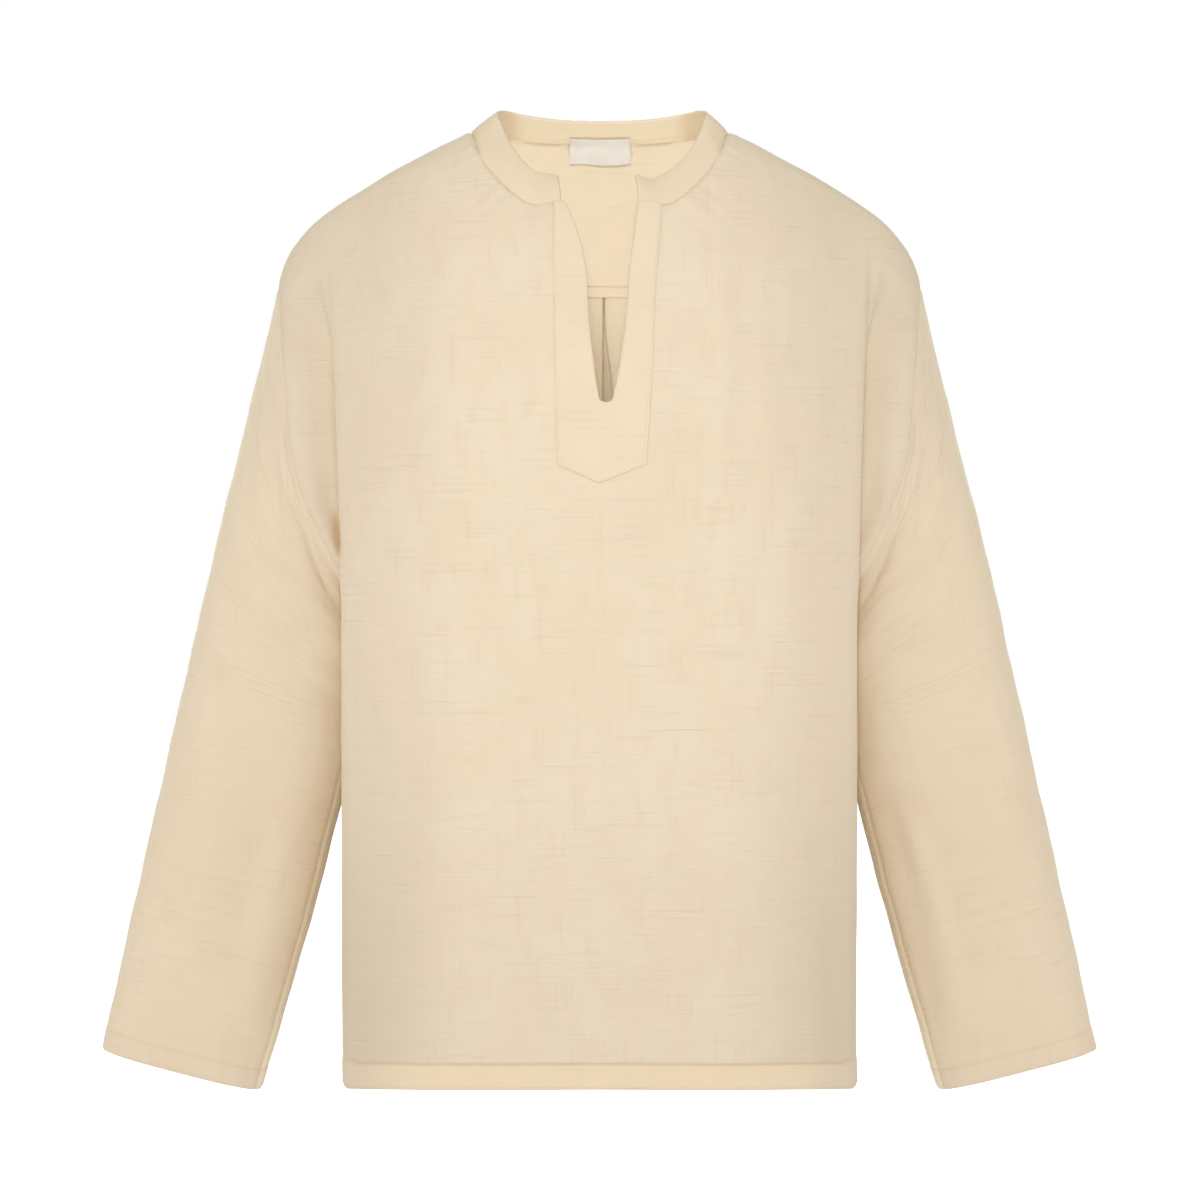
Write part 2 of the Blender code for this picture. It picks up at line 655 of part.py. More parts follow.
def main():
    for old in list(bpy.data.objects):
        bpy.data.objects.remove(old, do_unlink=True)
    tunic = bpy.data.collections.new("tunic")
    bpy.context.scene.collection.children.link(tunic)
    add_front(tunic)
    add_back(tunic)
    add_yoke(tunic)
    add_sleeves(tunic)
    add_collar(tunic)
    add_placket(tunic)
    add_label(tunic)


main()
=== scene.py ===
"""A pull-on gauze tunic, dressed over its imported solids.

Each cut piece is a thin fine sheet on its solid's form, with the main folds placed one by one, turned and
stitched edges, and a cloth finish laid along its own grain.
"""

import bpy
import numpy as np
from bpy.props import FloatProperty, FloatVectorProperty, PointerProperty
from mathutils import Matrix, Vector


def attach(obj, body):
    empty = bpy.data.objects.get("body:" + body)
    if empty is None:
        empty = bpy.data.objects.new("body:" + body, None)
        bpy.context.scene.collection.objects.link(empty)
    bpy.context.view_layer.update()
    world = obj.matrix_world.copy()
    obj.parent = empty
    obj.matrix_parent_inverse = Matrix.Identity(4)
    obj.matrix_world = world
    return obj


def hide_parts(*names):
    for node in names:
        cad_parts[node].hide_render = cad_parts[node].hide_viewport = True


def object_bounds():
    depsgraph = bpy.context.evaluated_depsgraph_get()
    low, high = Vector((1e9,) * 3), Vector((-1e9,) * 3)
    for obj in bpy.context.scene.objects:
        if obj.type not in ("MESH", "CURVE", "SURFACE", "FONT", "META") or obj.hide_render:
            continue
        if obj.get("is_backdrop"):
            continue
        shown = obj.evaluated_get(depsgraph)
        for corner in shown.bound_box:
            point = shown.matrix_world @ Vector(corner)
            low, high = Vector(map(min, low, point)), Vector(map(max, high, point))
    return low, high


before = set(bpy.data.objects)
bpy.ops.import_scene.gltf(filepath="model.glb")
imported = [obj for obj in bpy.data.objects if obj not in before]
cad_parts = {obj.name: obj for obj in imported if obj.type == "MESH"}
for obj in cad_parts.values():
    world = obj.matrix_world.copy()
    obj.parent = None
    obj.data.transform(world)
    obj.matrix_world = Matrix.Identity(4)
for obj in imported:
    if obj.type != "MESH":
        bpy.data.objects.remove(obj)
CAD_LOW, CAD_HIGH = (tuple(corner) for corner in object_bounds())

bl_info = {
    "name": "Gauze tunic",
    "version": (1, 0, 0),
    "blender": (4, 5, 0),
    "location": "View3D > Sidebar > Tunic",
    "description": "Cuts and sews a pull-on cotton gauze tunic around its packed solids",
    "category": "Object",
}

# Form, in metres: the same named values as the solids
HALF_WIDTH = 0.192
SIDE_EASE = 0.215
SIDE_POWER = 2.2
LIP_RADIUS = 0.004
SHOULDER_SEAM_Y = 0.004
HEM_Z = -0.7215
PLEAT_WAVE = 0.0035
PLEAT_FADE = (0.36, 0.72)
PLEAT_LOSS = 0.7
YOKE_NECK_X = 0.110
BACK_NECK_FALL = np.array((0.0, 0.62, -0.78))
SHOULDER_FALL = np.array((0.0, 1.0, 0.0))
SLOPE_STEP = 0.001
ROW_STEP = 0.001
SEAM_LEAD = 0.003
CORNER_FADE = 0.005

# Where rows stand on the armhole (0 shoulder, 1 armpit) and on the side seam (1 armpit, 2 hem)
YOKE_END = 0.15
NECK_END = 0.22
SLIT_END = 0.58
PLACKET_END = 0.70
ARMPIT = 1.0
HEM = 2.0

# The round foot of the slit
FOOT_RADIUS = 0.0055
FOOT_DEPTH = 0.2121
FOOT_X = 0.0050
FOOT_TOP = FOOT_DEPTH - FOOT_RADIUS
FOOT_TURNS = np.radians((0, 20, 38, 53, 65, 75, 83, 90))


def table(names, *rows):
    """Named columns of numbers, read by their first column."""
    return dict(zip(names.split(), np.array(rows, float).T))


SHOULDER = table(
    "x z",
    (0.0000, 0.0130),
    (0.0500, 0.0100),
    (0.0985, 0.0010),
    (0.1180, -0.0070),
    (0.1490, -0.0217),
    (0.1770, -0.0370),
    (0.2020, -0.0522),
    (0.2215, -0.0670),
    (0.2355, -0.0850),
    (0.2425, -0.1000),
    (0.2465, -0.1155),
)

DEPTH = table(
    "drop front back",
    (0.000, 0.000, 0.000),
    (0.006, 0.016, 0.018),
    (0.015, 0.027, 0.034),
    (0.030, 0.040, 0.055),
    (0.050, 0.054, 0.073),
    (0.070, 0.066, 0.087),
    (0.100, 0.080, 0.103),
    (0.150, 0.097, 0.116),
    (0.210, 0.110, 0.120),
    (0.300, 0.119, 0.119),
    (0.450, 0.121, 0.115),
    (0.735, 0.118, 0.110),
)

# Neck seam and collar rim, from past the centre back (-1) over the side neck (4) to the slit (8)
NECK = table(
    "place x y z rim_x rim_y rim_z",
    (-1, -0.048, 0.068, 0.001, -0.035, 0.049, 0.0165),
    (0, 0.000, 0.074, 0.000, 0.000, 0.052, 0.0155),
    (1, 0.048, 0.068, 0.001, 0.035, 0.049, 0.0165),
    (2, 0.0810, 0.045, 0.0040, 0.0620, 0.035, 0.0190),
    (3, 0.0955, 0.021, 0.0020, 0.0765, 0.016, 0.0200),
    (4, 0.0985, 0.004, 0.0010, 0.0805, -0.003, 0.0145),
    (5, 0.0905, -0.0300, -0.0195, 0.0735, -0.018, -0.0020),
    (6, 0.0756, -0.0480, -0.0404, 0.0644, -0.033, -0.0163),
    (7, 0.0520, -0.0630, -0.0585, 0.0505, -0.045, -0.0312),
    (8, 0.0295, -0.0635, -0.0565, 0.0322, -0.048, -0.0361),
)
SIDE_NECK = 4
NECK_FRONT = 8
NECK_BESIDE_SLIT = (NECK["x"][:-4:-1], NECK["z"][:-4:-1])

NECK_START = table("row place", (0, 4), (0.018, 4.1), (0.055, 4.55), (0.165, 7.0), (0.195, 7.5), (0.22, 8))
FRONT_START = table(
    "row z",
    (0.220, -0.064),
    (0.290, -0.081),
    (0.365, -0.1095),
    (0.440, -0.146),
    (0.510, -0.1776),
    (0.545, -0.1950),
    (0.580, -0.2121),
    (0.700, -0.272),
    (1.000, -0.350),
    (2.000, HEM_Z),
)
BACK_START = table("row z", (0.15, -0.113), (0.30, -0.165), (0.65, -0.280), (1.0, -0.350), (2.0, HEM_Z))

# The slit's edges and the facing's outer edges, each measured outward on its own half
SLIT = table(
    "depth right left",
    (0.0565, 0.0280, 0.0295),
    (0.0810, 0.0169, 0.0267),
    (0.1095, 0.0109, 0.0229),
    (0.1460, 0.0086, 0.0206),
    (0.1776, 0.0052, 0.0163),
    (0.1950, 0.0030, 0.0133),
    (0.2066, 0.0010, 0.0108),
)
PLACKET_EDGE = table(
    "depth right left",
    (0.0565, 0.0340, 0.0472),
    (0.1280, 0.0335, 0.0412),
    (0.1810, 0.0325, 0.0392),
    (0.2569, 0.0308, 0.0345),
)
PLACKET_POINT_Z = -0.271
PLACKET_CORNER_Z = -0.2569
PLACKET_TOP_INSET = 0.0008

# The fold that hangs in front of and behind each armhole
FOLD = table(
    "row lip_x lip_z valley_x valley_y made",
    (0.000, 0.2110, -0.0605, 0.221, 0.000, 0.0),
    (0.018, 0.2110, -0.0605, 0.221, 0.000, 0.0),
    (0.075, 0.2088, -0.0930, 0.216, 0.022, 0.0),
    (0.100, 0.2075, -0.1060, 0.214, 0.030, 0.35),
    (0.140, 0.2060, -0.1220, 0.210, 0.041, 0.8),
    (0.220, 0.2024, -0.1520, 0.203, 0.058, 0.95),
    (0.365, 0.1988, -0.2050, 0.1935, 0.071, 1.0),
    (0.510, 0.1968, -0.2500, 0.190, 0.075, 1.0),
    (0.670, 0.1951, -0.3020, 0.186, 0.073, 1.0),
    (0.840, 0.1942, -0.3420, 0.178, 0.064, 1.0),
    (1.000, 0.1930, -0.3660, 0.170, 0.052, 1.0),
    (1.300, 0.1926, -0.4730, 0.172, 0.054, 1.0),
    (2.000, 0.1915, -0.7235, 0.184, 0.050, 1.0),
)
VALLEY_DROP = 2.5 * LIP_RADIUS
VALLEY_SPLAY = 0.2
TURN_HALF = 0.45
TURN_FALL = np.array((0.1, 0.2, 0.35))
TUCK_STEPS = np.array((0.07, 0.16, 0.36, 0.66))
# Fine columns in each stretch of the tuck: lip, turn, valley, run in, seam
TUCK_COLUMNS = (5, 5, 6, 8, 8, 2)
SIDE_SEAM = table(
    "row x",
    (1.000, 0.1720),
    (1.012, 0.1672),
    (1.040, 0.1648),
    (1.100, 0.1642),
    (1.300, 0.1675),
    (1.500, 0.1730),
    (2.000, 0.1860),
)

ARMHOLE = table(
    "row x front back z face_x face_y face_z",
    (0.000, 0.2465, -0.004, 0.004, -0.1155, 0.975, 0.00, 0.22),
    (0.148, 0.2435, 0.030, 0.036, -0.1480, 0.75, 0.62, 0.20),
    (0.243, 0.2410, 0.046, 0.052, -0.1730, 0.55, 0.80, 0.15),
    (0.365, 0.2370, 0.060, 0.066, -0.2090, 0.42, 0.90, 0.05),
    (0.511, 0.2310, 0.071, 0.074, -0.2540, 0.36, 0.92, -0.10),
    (0.672, 0.2140, 0.072, 0.070, -0.3020, 0.28, 0.92, -0.24),
    (0.838, 0.1900, 0.067, 0.058, -0.3430, 0.20, 0.84, -0.48),
    (1.000, 0.1720, 0.000, 0.000, -0.3620, 0.00, 0.00, -1.00),
)

SLEEVE = table(
    "ring outer_x outer_z inner_x inner_z depth",
    (1.0, 0.2925, -0.3140, 0.1790, -0.4080, 0.070),
    (1.5, 0.3145, -0.4080, 0.1865, -0.4560, 0.066),
    (2.0, 0.3360, -0.5010, 0.2035, -0.5300, 0.056),
    (2.5, 0.3590, -0.6010, 0.2310, -0.6330, 0.043),
    (3.0, 0.3815, -0.7015, 0.2605, -0.7330, 0.028),
)
SLEEVE_ROUNDNESS = 0.55
SLEEVE_DOWN = np.array((0.23, 0.0, -0.97))
HANG_ROWS = (0.55, 1.0)
CUFF_BULGE = 0.0015
CUFF_BULGE_RINGS = (2.5, 3.0)
CUFF_RING = 3.0

PLEAT = table(
    "step folded_x folded_y open_x open_y",
    (0, 0.0000, 0.0048, 0.0000, 1.0),
    (1, 0.0164, 0.0048, 0.0130, 0.6),
    (2, 0.0176, 0.0036, 0.0180, 0.2),
    (3, 0.0164, 0.0024, 0.0230, -0.2),
    (4, 0.0020, 0.0024, 0.0340, -0.6),
    (5, 0.0007, 0.0012, 0.0380, -0.5),
    (6, 0.0020, 0.0000, 0.0430, -0.3),
)
PLEAT_OPENING = table(
    "z open",
    (-0.7215, 1.0),
    (-0.4200, 1.0),
    (-0.3000, 0.45),
    (-0.2150, 0.115),
    (-0.1950, 0.090),
    (-0.1750, 0.060),
    (-0.1600, 0.032),
    (-0.1450, 0.012),
    (-0.1250, 0.002),
    (-0.1130, 0.0),
)

LABEL_RISE = 0.0079
LABEL_DROP = 0.0133
LABEL_DOWN = np.array((0.0, 0.50, -0.866))
LABEL_INWARD = np.array((0.0, -0.72, -0.69))

# How fine the sheets are
CELL = 0.0036
BODY_COLUMNS = 53
SLEEVE_COLUMNS = 144
SLEEVE_TOP_RINGS = 56
SLEEVE_RINGS = 122
YOKE_NECK_COLUMNS = 30
COLLAR_COLUMNS = 150
YOKE_ROWS = 34
# Fine columns over the back pleat, and those that the row saves beyond it
PLEAT_COLUMNS = (6, 2, 2, 5, 2, 2, 1)
PLEAT_SAVED = 9
# Rows of the body and rings of a sleeve to a metre, and how far from a hem's stitches the close ones stand
ROWS_PER_METRE = 1 / 0.3715
RINGS_PER_METRE = 0.5 / 0.103
BESIDE_STITCHES = (0.0008, 0.0017, 0.0030)
CUFF_CLEAR = 0.0026
# Rows that the fine ones never step over
TOP_ROWS = (0, 0.055, 0.11, 0.165, 0.195, NECK_END, 0.29, 0.365, 0.44, 0.51, 0.545)
LOW_ROWS = (0.84, 0.91, 0.96, ARMPIT, 1.1, 1.25, 1.45, 1.7)
FRONT_ROWS = (*TOP_ROWS, SLIT_END, 0.64, PLACKET_END, 0.77, *LOW_ROWS)
BACK_ROWS = (YOKE_END, 0.22, 0.30, 0.38, 0.47, 0.56, 0.65, 0.74, *LOW_ROWS)
# A line of points is this fine where distances to it are taken, for so many points of a sheet at a time
LINE_STEP = 0.0015
POINTS_AT_ONCE = 4000
# Points of the lines and curves that are read to find a place on them
NECK_POINTS = 200
UNDER_COLLAR_POINTS = 321
ARMHOLE_POINTS = 90
SIDE_POINTS = 120
EVEN_POINTS = 200
HEIGHT_POINTS = 2000
LONGEST_DROP = 0.75
DROP_POINTS = 751

# Seams: how they dip, what their allowance lifts, and how they pucker the sheets beside them
SEAM_DIP = 0.0006
SEAM_DIP_REACH = 0.0022
ALLOWANCE = 0.009
ALLOWANCE_EDGE = 0.002
ALLOWANCE_STARTS = (0.0015, 0.0035)
ALLOWANCE_RISE = 0.0003
GATHERS_START = 0.003
SHOULDER_PUCKER = {"pucker": 0.0002, "wavelength": 0.016}
ARMHOLE_PUCKER = {"pucker": 0.0003, "wavelength": 0.014}
SIDE_PUCKER = {"pucker": 0.0002, "wavelength": 0.02}

# The armholes' seams sink between these depths, where the cloth beside them lies thinner
SEAM_SUNK = 0.95
SEAM_SINKS = (0.16, 0.25)
THINNED = 0.8
THINNED_REACH = 0.0025

# How far the neck's edge reaches up into the collar, and where along the neck that ends
ON_SEAM = 0.0003
UNDER_COLLAR = 0.0012
UNDER_COLLAR_ENDS = (7.4, 7.9)

# Stitches: how they narrow and dive at their ends, how high they lie, and the line they sink in the cloth
STITCH_TAPER = 0.35
STITCH_DIVE = 1.7
STITCH_RISE = 0.3
STITCH_SINK = 0.0004
STITCH_SINK_REACH = 0.0011

# Hems: the turned band's height, edge and fullness, its puckers, and its corners at the side seams
HEM_BAND = 0.0185
CUFF_BAND = 0.0155
HEM_REACH = 0.06
HEM_EDGE = 0.0008
HEM_RISE = 0.0003
HEM_FULLNESS = 0.25
HEM_PUCKER = 0.00022
CUFF_PUCKER = 0.0002
HEM_WAVELENGTH = 0.017
HEM_PUCKER_REACH = 0.007
CORNER_RADIUS = 0.0030
CUFF_CORNER_RADIUS = 0.0024
CORNER_REACH = 0.009

# How strongly the finish shades stitched lines, and how its warm band fades toward the side seams
HEM_CREASE = 0.5
CUFF_CREASE = 0.14
BAND_FADE = 0.7
BAND_FADES = (0.115, 0.185)


def cubic(before, after, before_slope, after_slope, share):
    """A cubic from one value or point to the next, with its slope at each end."""
    back = 1 - share
    near = (1 + 2 * share) * back**2 * before + share * back**2 * before_slope
    return near + share**2 * (3 - 2 * share) * after - share**2 * back * after_slope


def slopes(keys, values, flat_ends=False, overshoot=True):
    """The steps between the keys, and the slope of a smooth curve through the values at each of them."""
    step = np.diff(keys).reshape([-1] + [1] * (values.ndim - 1))
    rise = np.diff(values, axis=0) / step
    middle = (rise[:-1] * step[1:] + rise[1:] * step[:-1]) / (step[:-1] + step[1:])
    if not overshoot:
        limit = 3 * np.minimum(abs(rise[:-1]), abs(rise[1:])) * (rise[:-1] * rise[1:] > 0)
        middle = np.clip(middle, -limit, limit)
    ends = 0 if flat_ends else 1
    return step, np.concatenate([rise[:1] * ends, middle, rise[-1:] * ends])


def stretch(values, slope, step, k, share):
    """The smooth curve's part from one value to the next."""
    return cubic(values[k], values[k + 1], slope[k] * step[k], slope[k + 1] * step[k], share)


def read(rows, column, at, flat_ends=False, overshoot=False):
    """A column's value between its rows, on a smooth curve that passes through each of them."""
    keys = next(iter(rows.values()))
    step, slope = slopes(keys, rows[column], flat_ends, overshoot)
    at = np.clip(at, keys[0], keys[-1])
    k = np.clip(np.searchsorted(keys, at, side="right") - 1, 0, len(keys) - 2)
    return stretch(rows[column], slope, step, k, (at - keys[k]) / step[k])


def smoothstep(low, high, value):
    share = np.clip((value - low) / (high - low), 0, 1)
    return share * share * (3 - 2 * share)


def unit(vectors):
    length = np.linalg.norm(vectors, axis=-1, keepdims=True)
    return vectors / np.maximum(length, 1e-12)


def bell(distance, reach):
    """1 on the spot, fading away on both sides within about the reach."""
    return np.exp(-((distance / reach) ** 2))


def run_along(line):
    """How far along a line of points each of them is."""
    return np.concatenate([[0], np.cumsum(np.linalg.norm(np.diff(line, axis=0), axis=1))])


def on_line(line, run, at):
    """The points that lie so far along a line, between its own."""
    return np.stack([np.interp(at, run, line[:, k]) for k in range(3)], axis=1)


def points(x, y, z):
    return np.stack(np.broadcast_arrays(x, y, z), axis=-1).astype(float)


def mirrored(grid, sign_x, sign_y=1):
    return grid * np.array((sign_x, sign_y, 1.0))


def drop_below_shoulder(x, z):
    return np.maximum(read(SHOULDER, "z", abs(x)) - z, 0)


def body_depth(face, x, z):
    """How far the front or the back stands from the shoulder line at this place."""
    ease = 1 - SIDE_EASE * (abs(x) / HALF_WIDTH) ** SIDE_POWER
    return read(DEPTH, face, drop_below_shoulder(x, z)) * ease


def neck_columns(place, names):
    return points(*(read(NECK, name, place, overshoot=True) for name in names))


def neck_seam(place):
    return neck_columns(place, ("x", "y", "z"))


def collar_rim(place):
    return neck_columns(place, ("rim_x", "rim_y", "rim_z"))


def armhole(row, face):
    """A point of the armhole seam at +X, the way the cloth crosses it, and the way the sleeve leaves it."""

    def place(at):
        x = read(ARMHOLE, "x", at, flat_ends=True)
        z = read(ARMHOLE, "z", at, flat_ends=True)
        return points(x, -read(ARMHOLE, face, at), z)

    along = unit(place(np.minimum(row + ROW_STEP, 1.0)) - place(np.maximum(row - ROW_STEP, 0.0)))
    facing = points(read(ARMHOLE, "face_x", row), -read(ARMHOLE, "face_y", row), read(ARMHOLE, "face_z", row))
    across = unit(np.cross(facing, along))
    hanging = unit(SLEEVE_DOWN - facing * (facing @ SLEEVE_DOWN) / (facing @ facing))
    hang = 1 - smoothstep(*HANG_ROWS, row)
    down = unit(across + (hanging - across) * hang)
    sign_y = 1 if face == "front" else -1
    return [mirrored(part, 1, sign_y) for part in (place(row), across, down)]


def outer_end(row, face):
    """The row's last point, on the armhole or the side seam, and the way the cloth arrives there."""
    if row < ARMPIT:
        return armhole(row, face)[:2]
    toward_seam = 1.0 if face == "front" else -1.0
    armpit_z = ARMHOLE["z"][-1]
    end = points(read(SIDE_SEAM, "x", row), 0.0, armpit_z + (row - ARMPIT) * (HEM_Z - armpit_z))
    return end, np.array((0.0, toward_seam, 0.0))


def row_height(row, x, start_x, start_z):
    """A row's height at x: it follows the shoulder line near the top and runs level further down."""
    lip_x = read(FOLD, "lip_x", row) - LIP_RADIUS
    lip_z = read(FOLD, "lip_z", row)
    share = (x - start_x) / (lip_x - start_x)
    start_drop = read(SHOULDER, "z", abs(start_x)) - start_z
    lip_drop = read(SHOULDER, "z", lip_x) - lip_z
    following = read(SHOULDER, "z", abs(x)) - (start_drop + (lip_drop - start_drop) * share)
    level = start_z + (lip_z - start_z) * share
    return following + (level - following) * smoothstep(0, 1, row)


def tuck(row, face, last_main):
    """From the lip of the fold round to the seam: the few points that the fine curve passes through."""
    toward_front = -1.0 if face == "front" else 1.0
    end, arriving = outer_end(row, face)
    lead = end - arriving * SEAM_LEAD
    lip_x = read(FOLD, "lip_x", row)
    made = read(FOLD, "made", row)
    reach = np.linalg.norm(lead - last_main)
    fall = (read(SHOULDER, "z", lip_x) - read(SHOULDER, "z", lip_x - SLOPE_STEP)) / SLOPE_STEP
    leaving = unit(np.array((1.0, 0.0, fall)))
    share = TUCK_STEPS[:, None]
    plain = cubic(last_main, lead, leaving * reach, arriving * reach, share)
    lip_depth = abs(last_main[1])
    valley_x = read(FOLD, "valley_x", row)
    valley_depth = np.minimum(read(FOLD, "valley_y", row), lip_depth - VALLEY_DROP)
    back_x = valley_x + TURN_HALF * (lip_x - valley_x)
    back_depth = lip_depth - TURN_HALF * (lip_depth - valley_depth)
    turn_x = np.array((lip_x, back_x, valley_x))
    turn_depth = np.array((lip_depth - LIP_RADIUS, back_depth, valley_depth))
    turn_z = last_main[2] + (lead[2] - last_main[2]) * TURN_FALL
    turn = points(turn_x, toward_front * turn_depth, turn_z)
    valley_way = unit(np.array((VALLEY_SPLAY, -toward_front, 0.0))) * np.linalg.norm(lead - turn[2])
    run_in = cubic(turn[2], lead, valley_way, arriving * np.linalg.norm(lead - turn[2]), 0.5)
    folded = np.vstack([turn, run_in])
    return np.vstack([plain + (folded - plain) * made, lead, end])


def round_foot(x, depth, half):
    """A place beside the slit, drawn in toward its middle where the depth comes to its round foot."""
    middle = FOOT_X if half == "left" else -FOOT_X
    into_foot = np.clip((depth - FOOT_TOP) / FOOT_RADIUS, 0, 1)
    return middle + (x - middle) * np.sqrt(1 - into_foot**2)


def smooth_run(before, through, columns):
    """Fine points on a smooth curve: from the first of the given points, with so many in each stretch."""
    run = np.vstack([before, through])
    step, slope = slopes(run_along(run), run)
    fine = []
    for k, count in enumerate(columns, start=1):
        share = (np.arange(1, count + 1) / count)[:, None]
        fine.append(stretch(run, slope, step, k, share))
    return np.vstack(fine)


def slit_edge(row, half):
    """Where the slit's edge stands on its own half, with its foot rounded, and the height there."""
    z = read(FRONT_START, "z", row)
    depth = np.minimum(-z, FOOT_DEPTH)
    x = round_foot(read(SLIT, half, depth), depth, half)
    return x * (1 - smoothstep(SLIT_END, PLACKET_END, row)), z


def front_start(row, half):
    """The first point of a front row, and the height that the rest of the row sets out from."""
    if row <= NECK_END:
        edge = neck_seam(read(NECK_START, "place", row))
        start_z = read(FRONT_START, "z", row) if row == NECK_END else edge[2]
        return edge, start_z
    x, z = slit_edge(row, half)
    return points(x, -body_depth("front", x, z), z), z


def front_row(row, half):
    """One fine row of half the front, from neckline, slit or centre to armhole or side seam, at +X."""
    edge, start_z = front_start(row, half)
    lip_x = read(FOLD, "lip_x", row) - LIP_RADIUS
    x = edge[0] + (lip_x - edge[0]) * np.linspace(0, 1, BODY_COLUMNS)
    z = row_height(row, x, edge[0], start_z)
    z = z + (edge[2] - start_z) * np.exp((edge[0] - x) / CORNER_FADE)
    main = points(x, -body_depth("front", x, z), z)
    if row == 0:
        main[:, 1] = SHOULDER_SEAM_Y
    main[0] = edge
    control = np.vstack([main[-1], tuck(row, "front", main[-1])])
    return np.vstack([main, smooth_run(main[-4], control, TUCK_COLUMNS)])


def back_surface(row, x):
    start_z = read(BACK_START, "z", row)
    lip_x = read(FOLD, "lip_x", row) - LIP_RADIUS
    z = start_z + (read(FOLD, "lip_z", row) - start_z) * (x / lip_x) ** 2
    return points(x, body_depth("back", x, z), z)


def pleat_row(row):
    """The pleat from the centre outward, between folded and open."""
    z = read(BACK_START, "z", row)
    opened = read(PLEAT_OPENING, "open", z)
    x = PLEAT["folded_x"] + (PLEAT["open_x"] - PLEAT["folded_x"]) * opened
    surface = back_surface(row, x)
    fade = 1 - PLEAT_LOSS * smoothstep(*PLEAT_FADE, -z)
    wave = PLEAT["open_y"] * PLEAT_WAVE * fade
    surface[:, 1] += PLEAT["folded_y"] + (wave - PLEAT["folded_y"]) * opened
    return surface


def back_row(row):
    """One fine row of half the back, from the centre to armhole or side seam, at +X."""
    pleat = pleat_row(row)
    lip_x = read(FOLD, "lip_x", row) - LIP_RADIUS
    x = pleat[-1, 0] + (lip_x - pleat[-1, 0]) * np.linspace(0, 1, BODY_COLUMNS - PLEAT_SAVED)[1:]
    main = back_surface(row, x)
    folded = smooth_run(mirrored(pleat[1], -1), np.vstack([pleat, main[0]]), PLEAT_COLUMNS)
    control = np.vstack([main[-1], tuck(row, "back", main[-1])])
    return np.vstack([pleat[:1], folded, main[1:], smooth_run(main[-4], control, TUCK_COLUMNS)])


def yoke_row(share, top):
    """One fine row of half the yoke, so far of the way from neckline and shoulder seam to the yoke seam."""
    row = YOKE_END * share
    lip_x = read(FOLD, "lip_x", YOKE_END) - LIP_RADIUS
    over_neck = YOKE_NECK_X * np.linspace(0, 1, YOKE_NECK_COLUMNS + 1)[:-1]
    over_shoulder = np.linspace(YOKE_NECK_X, lip_x, len(top) - YOKE_NECK_COLUMNS)
    low_x = np.concatenate([over_neck, over_shoulder])
    low = back_surface(YOKE_END, low_x)
    reach = np.linalg.norm(low - top, axis=1, keepdims=True)
    over = np.clip(low_x / YOKE_NECK_X, 0, 1)[:, None]
    leaving = unit(BACK_NECK_FALL + (SHOULDER_FALL - BACK_NECK_FALL) * over) * reach
    below = low[:, 2] - SLOPE_STEP
    falling = points(0.0, body_depth("back", low_x, below) - low[:, 1], -SLOPE_STEP)
    main = cubic(top, low, leaving, unit(falling) * reach, share)
    control = np.vstack([main[-1], tuck(row, "back", main[-1])])
    return np.vstack([main, smooth_run(main[-3], control, TUCK_COLUMNS)])


def sleeve_tube(ring, angle):
    """A point of the sleeve below the armhole. Angle 0 is its outer edge, a quarter turn its front."""
    outer = points(read(SLEEVE, "outer_x", ring), 0.0, read(SLEEVE, "outer_z", ring))
    inner = points(read(SLEEVE, "inner_x", ring), 0.0, read(SLEEVE, "inner_z", ring))
    side = (np.sign(np.cos(angle)) * abs(np.cos(angle)) ** SLEEVE_ROUNDNESS)[:, None]
    depth = np.sign(np.sin(angle)) * abs(np.sin(angle)) ** SLEEVE_ROUNDNESS
    across = (outer - inner) / 2
    point = (outer + inner) / 2 + across * side + points(0.0, -read(SLEEVE, "depth", ring) * depth, 0.0)
    down = unit(np.array((across[2], 0.0, -across[0])))
    bulge = CUFF_BULGE * smoothstep(*CUFF_BULGE_RINGS, ring) * (1 - np.cos(angle) ** 2)
    return point + down * bulge[:, None]


def even_rows(face, count):
    """Armhole rows from the shoulder to the armpit, evenly spaced along the seam."""
    fine = np.linspace(0, 1, EVEN_POINTS)
    run = run_along(np.array([armhole(row, face)[0] for row in fine]))
    return np.interp(np.linspace(0, run[-1], count + 1), run, fine)


def sleeve_form(steps):
    """One sleeve at +X: each column leaves the armhole across its seam and joins the tube's rings."""
    half = SLEEVE_COLUMNS // 2
    front = [(row, "front") for row in even_rows("front", half)]
    back = [(row, "back") for row in even_rows("back", half)]
    ends = [armhole(np.float64(row), face) for row, face in front + back[-2:0:-1]]
    ring, _, leaving = (np.array(part) for part in zip(*ends))
    angles = np.pi * np.arange(SLEEVE_COLUMNS) / half
    joined = sleeve_tube(1.0, angles)
    passed = sleeve_tube(1.1, angles)
    lead = ring + leaving * SEAM_LEAD
    reach = np.linalg.norm(joined - lead, axis=1, keepdims=True)
    arriving = unit(passed - joined) * reach
    top = [cubic(lead, joined, leaving * reach, arriving, step) for step in steps if step < 1]
    return np.array([ring, *top, *(sleeve_tube(step, angles) for step in steps if step >= 1)])


# Laying fine sheets


def fine_rows(coarse, make):
    """Rows close enough together that no two of them stand further apart than a cell."""
    rows = []
    for first, last in zip(coarse[:-1], coarse[1:]):
        gap = np.linalg.norm(make(last) - make(first), axis=1).max()
        rows += list(np.linspace(first, last, max(1, int(np.ceil(gap / CELL))), endpoint=False))
    return np.array(rows + [coarse[-1]])


def row_of_height(heights, z):
    """The row whose start stands at this height."""
    rows = np.linspace(heights["row"][0], heights["row"][-1], HEIGHT_POINTS)
    return np.interp(-z, -read(heights, "z", rows), rows)


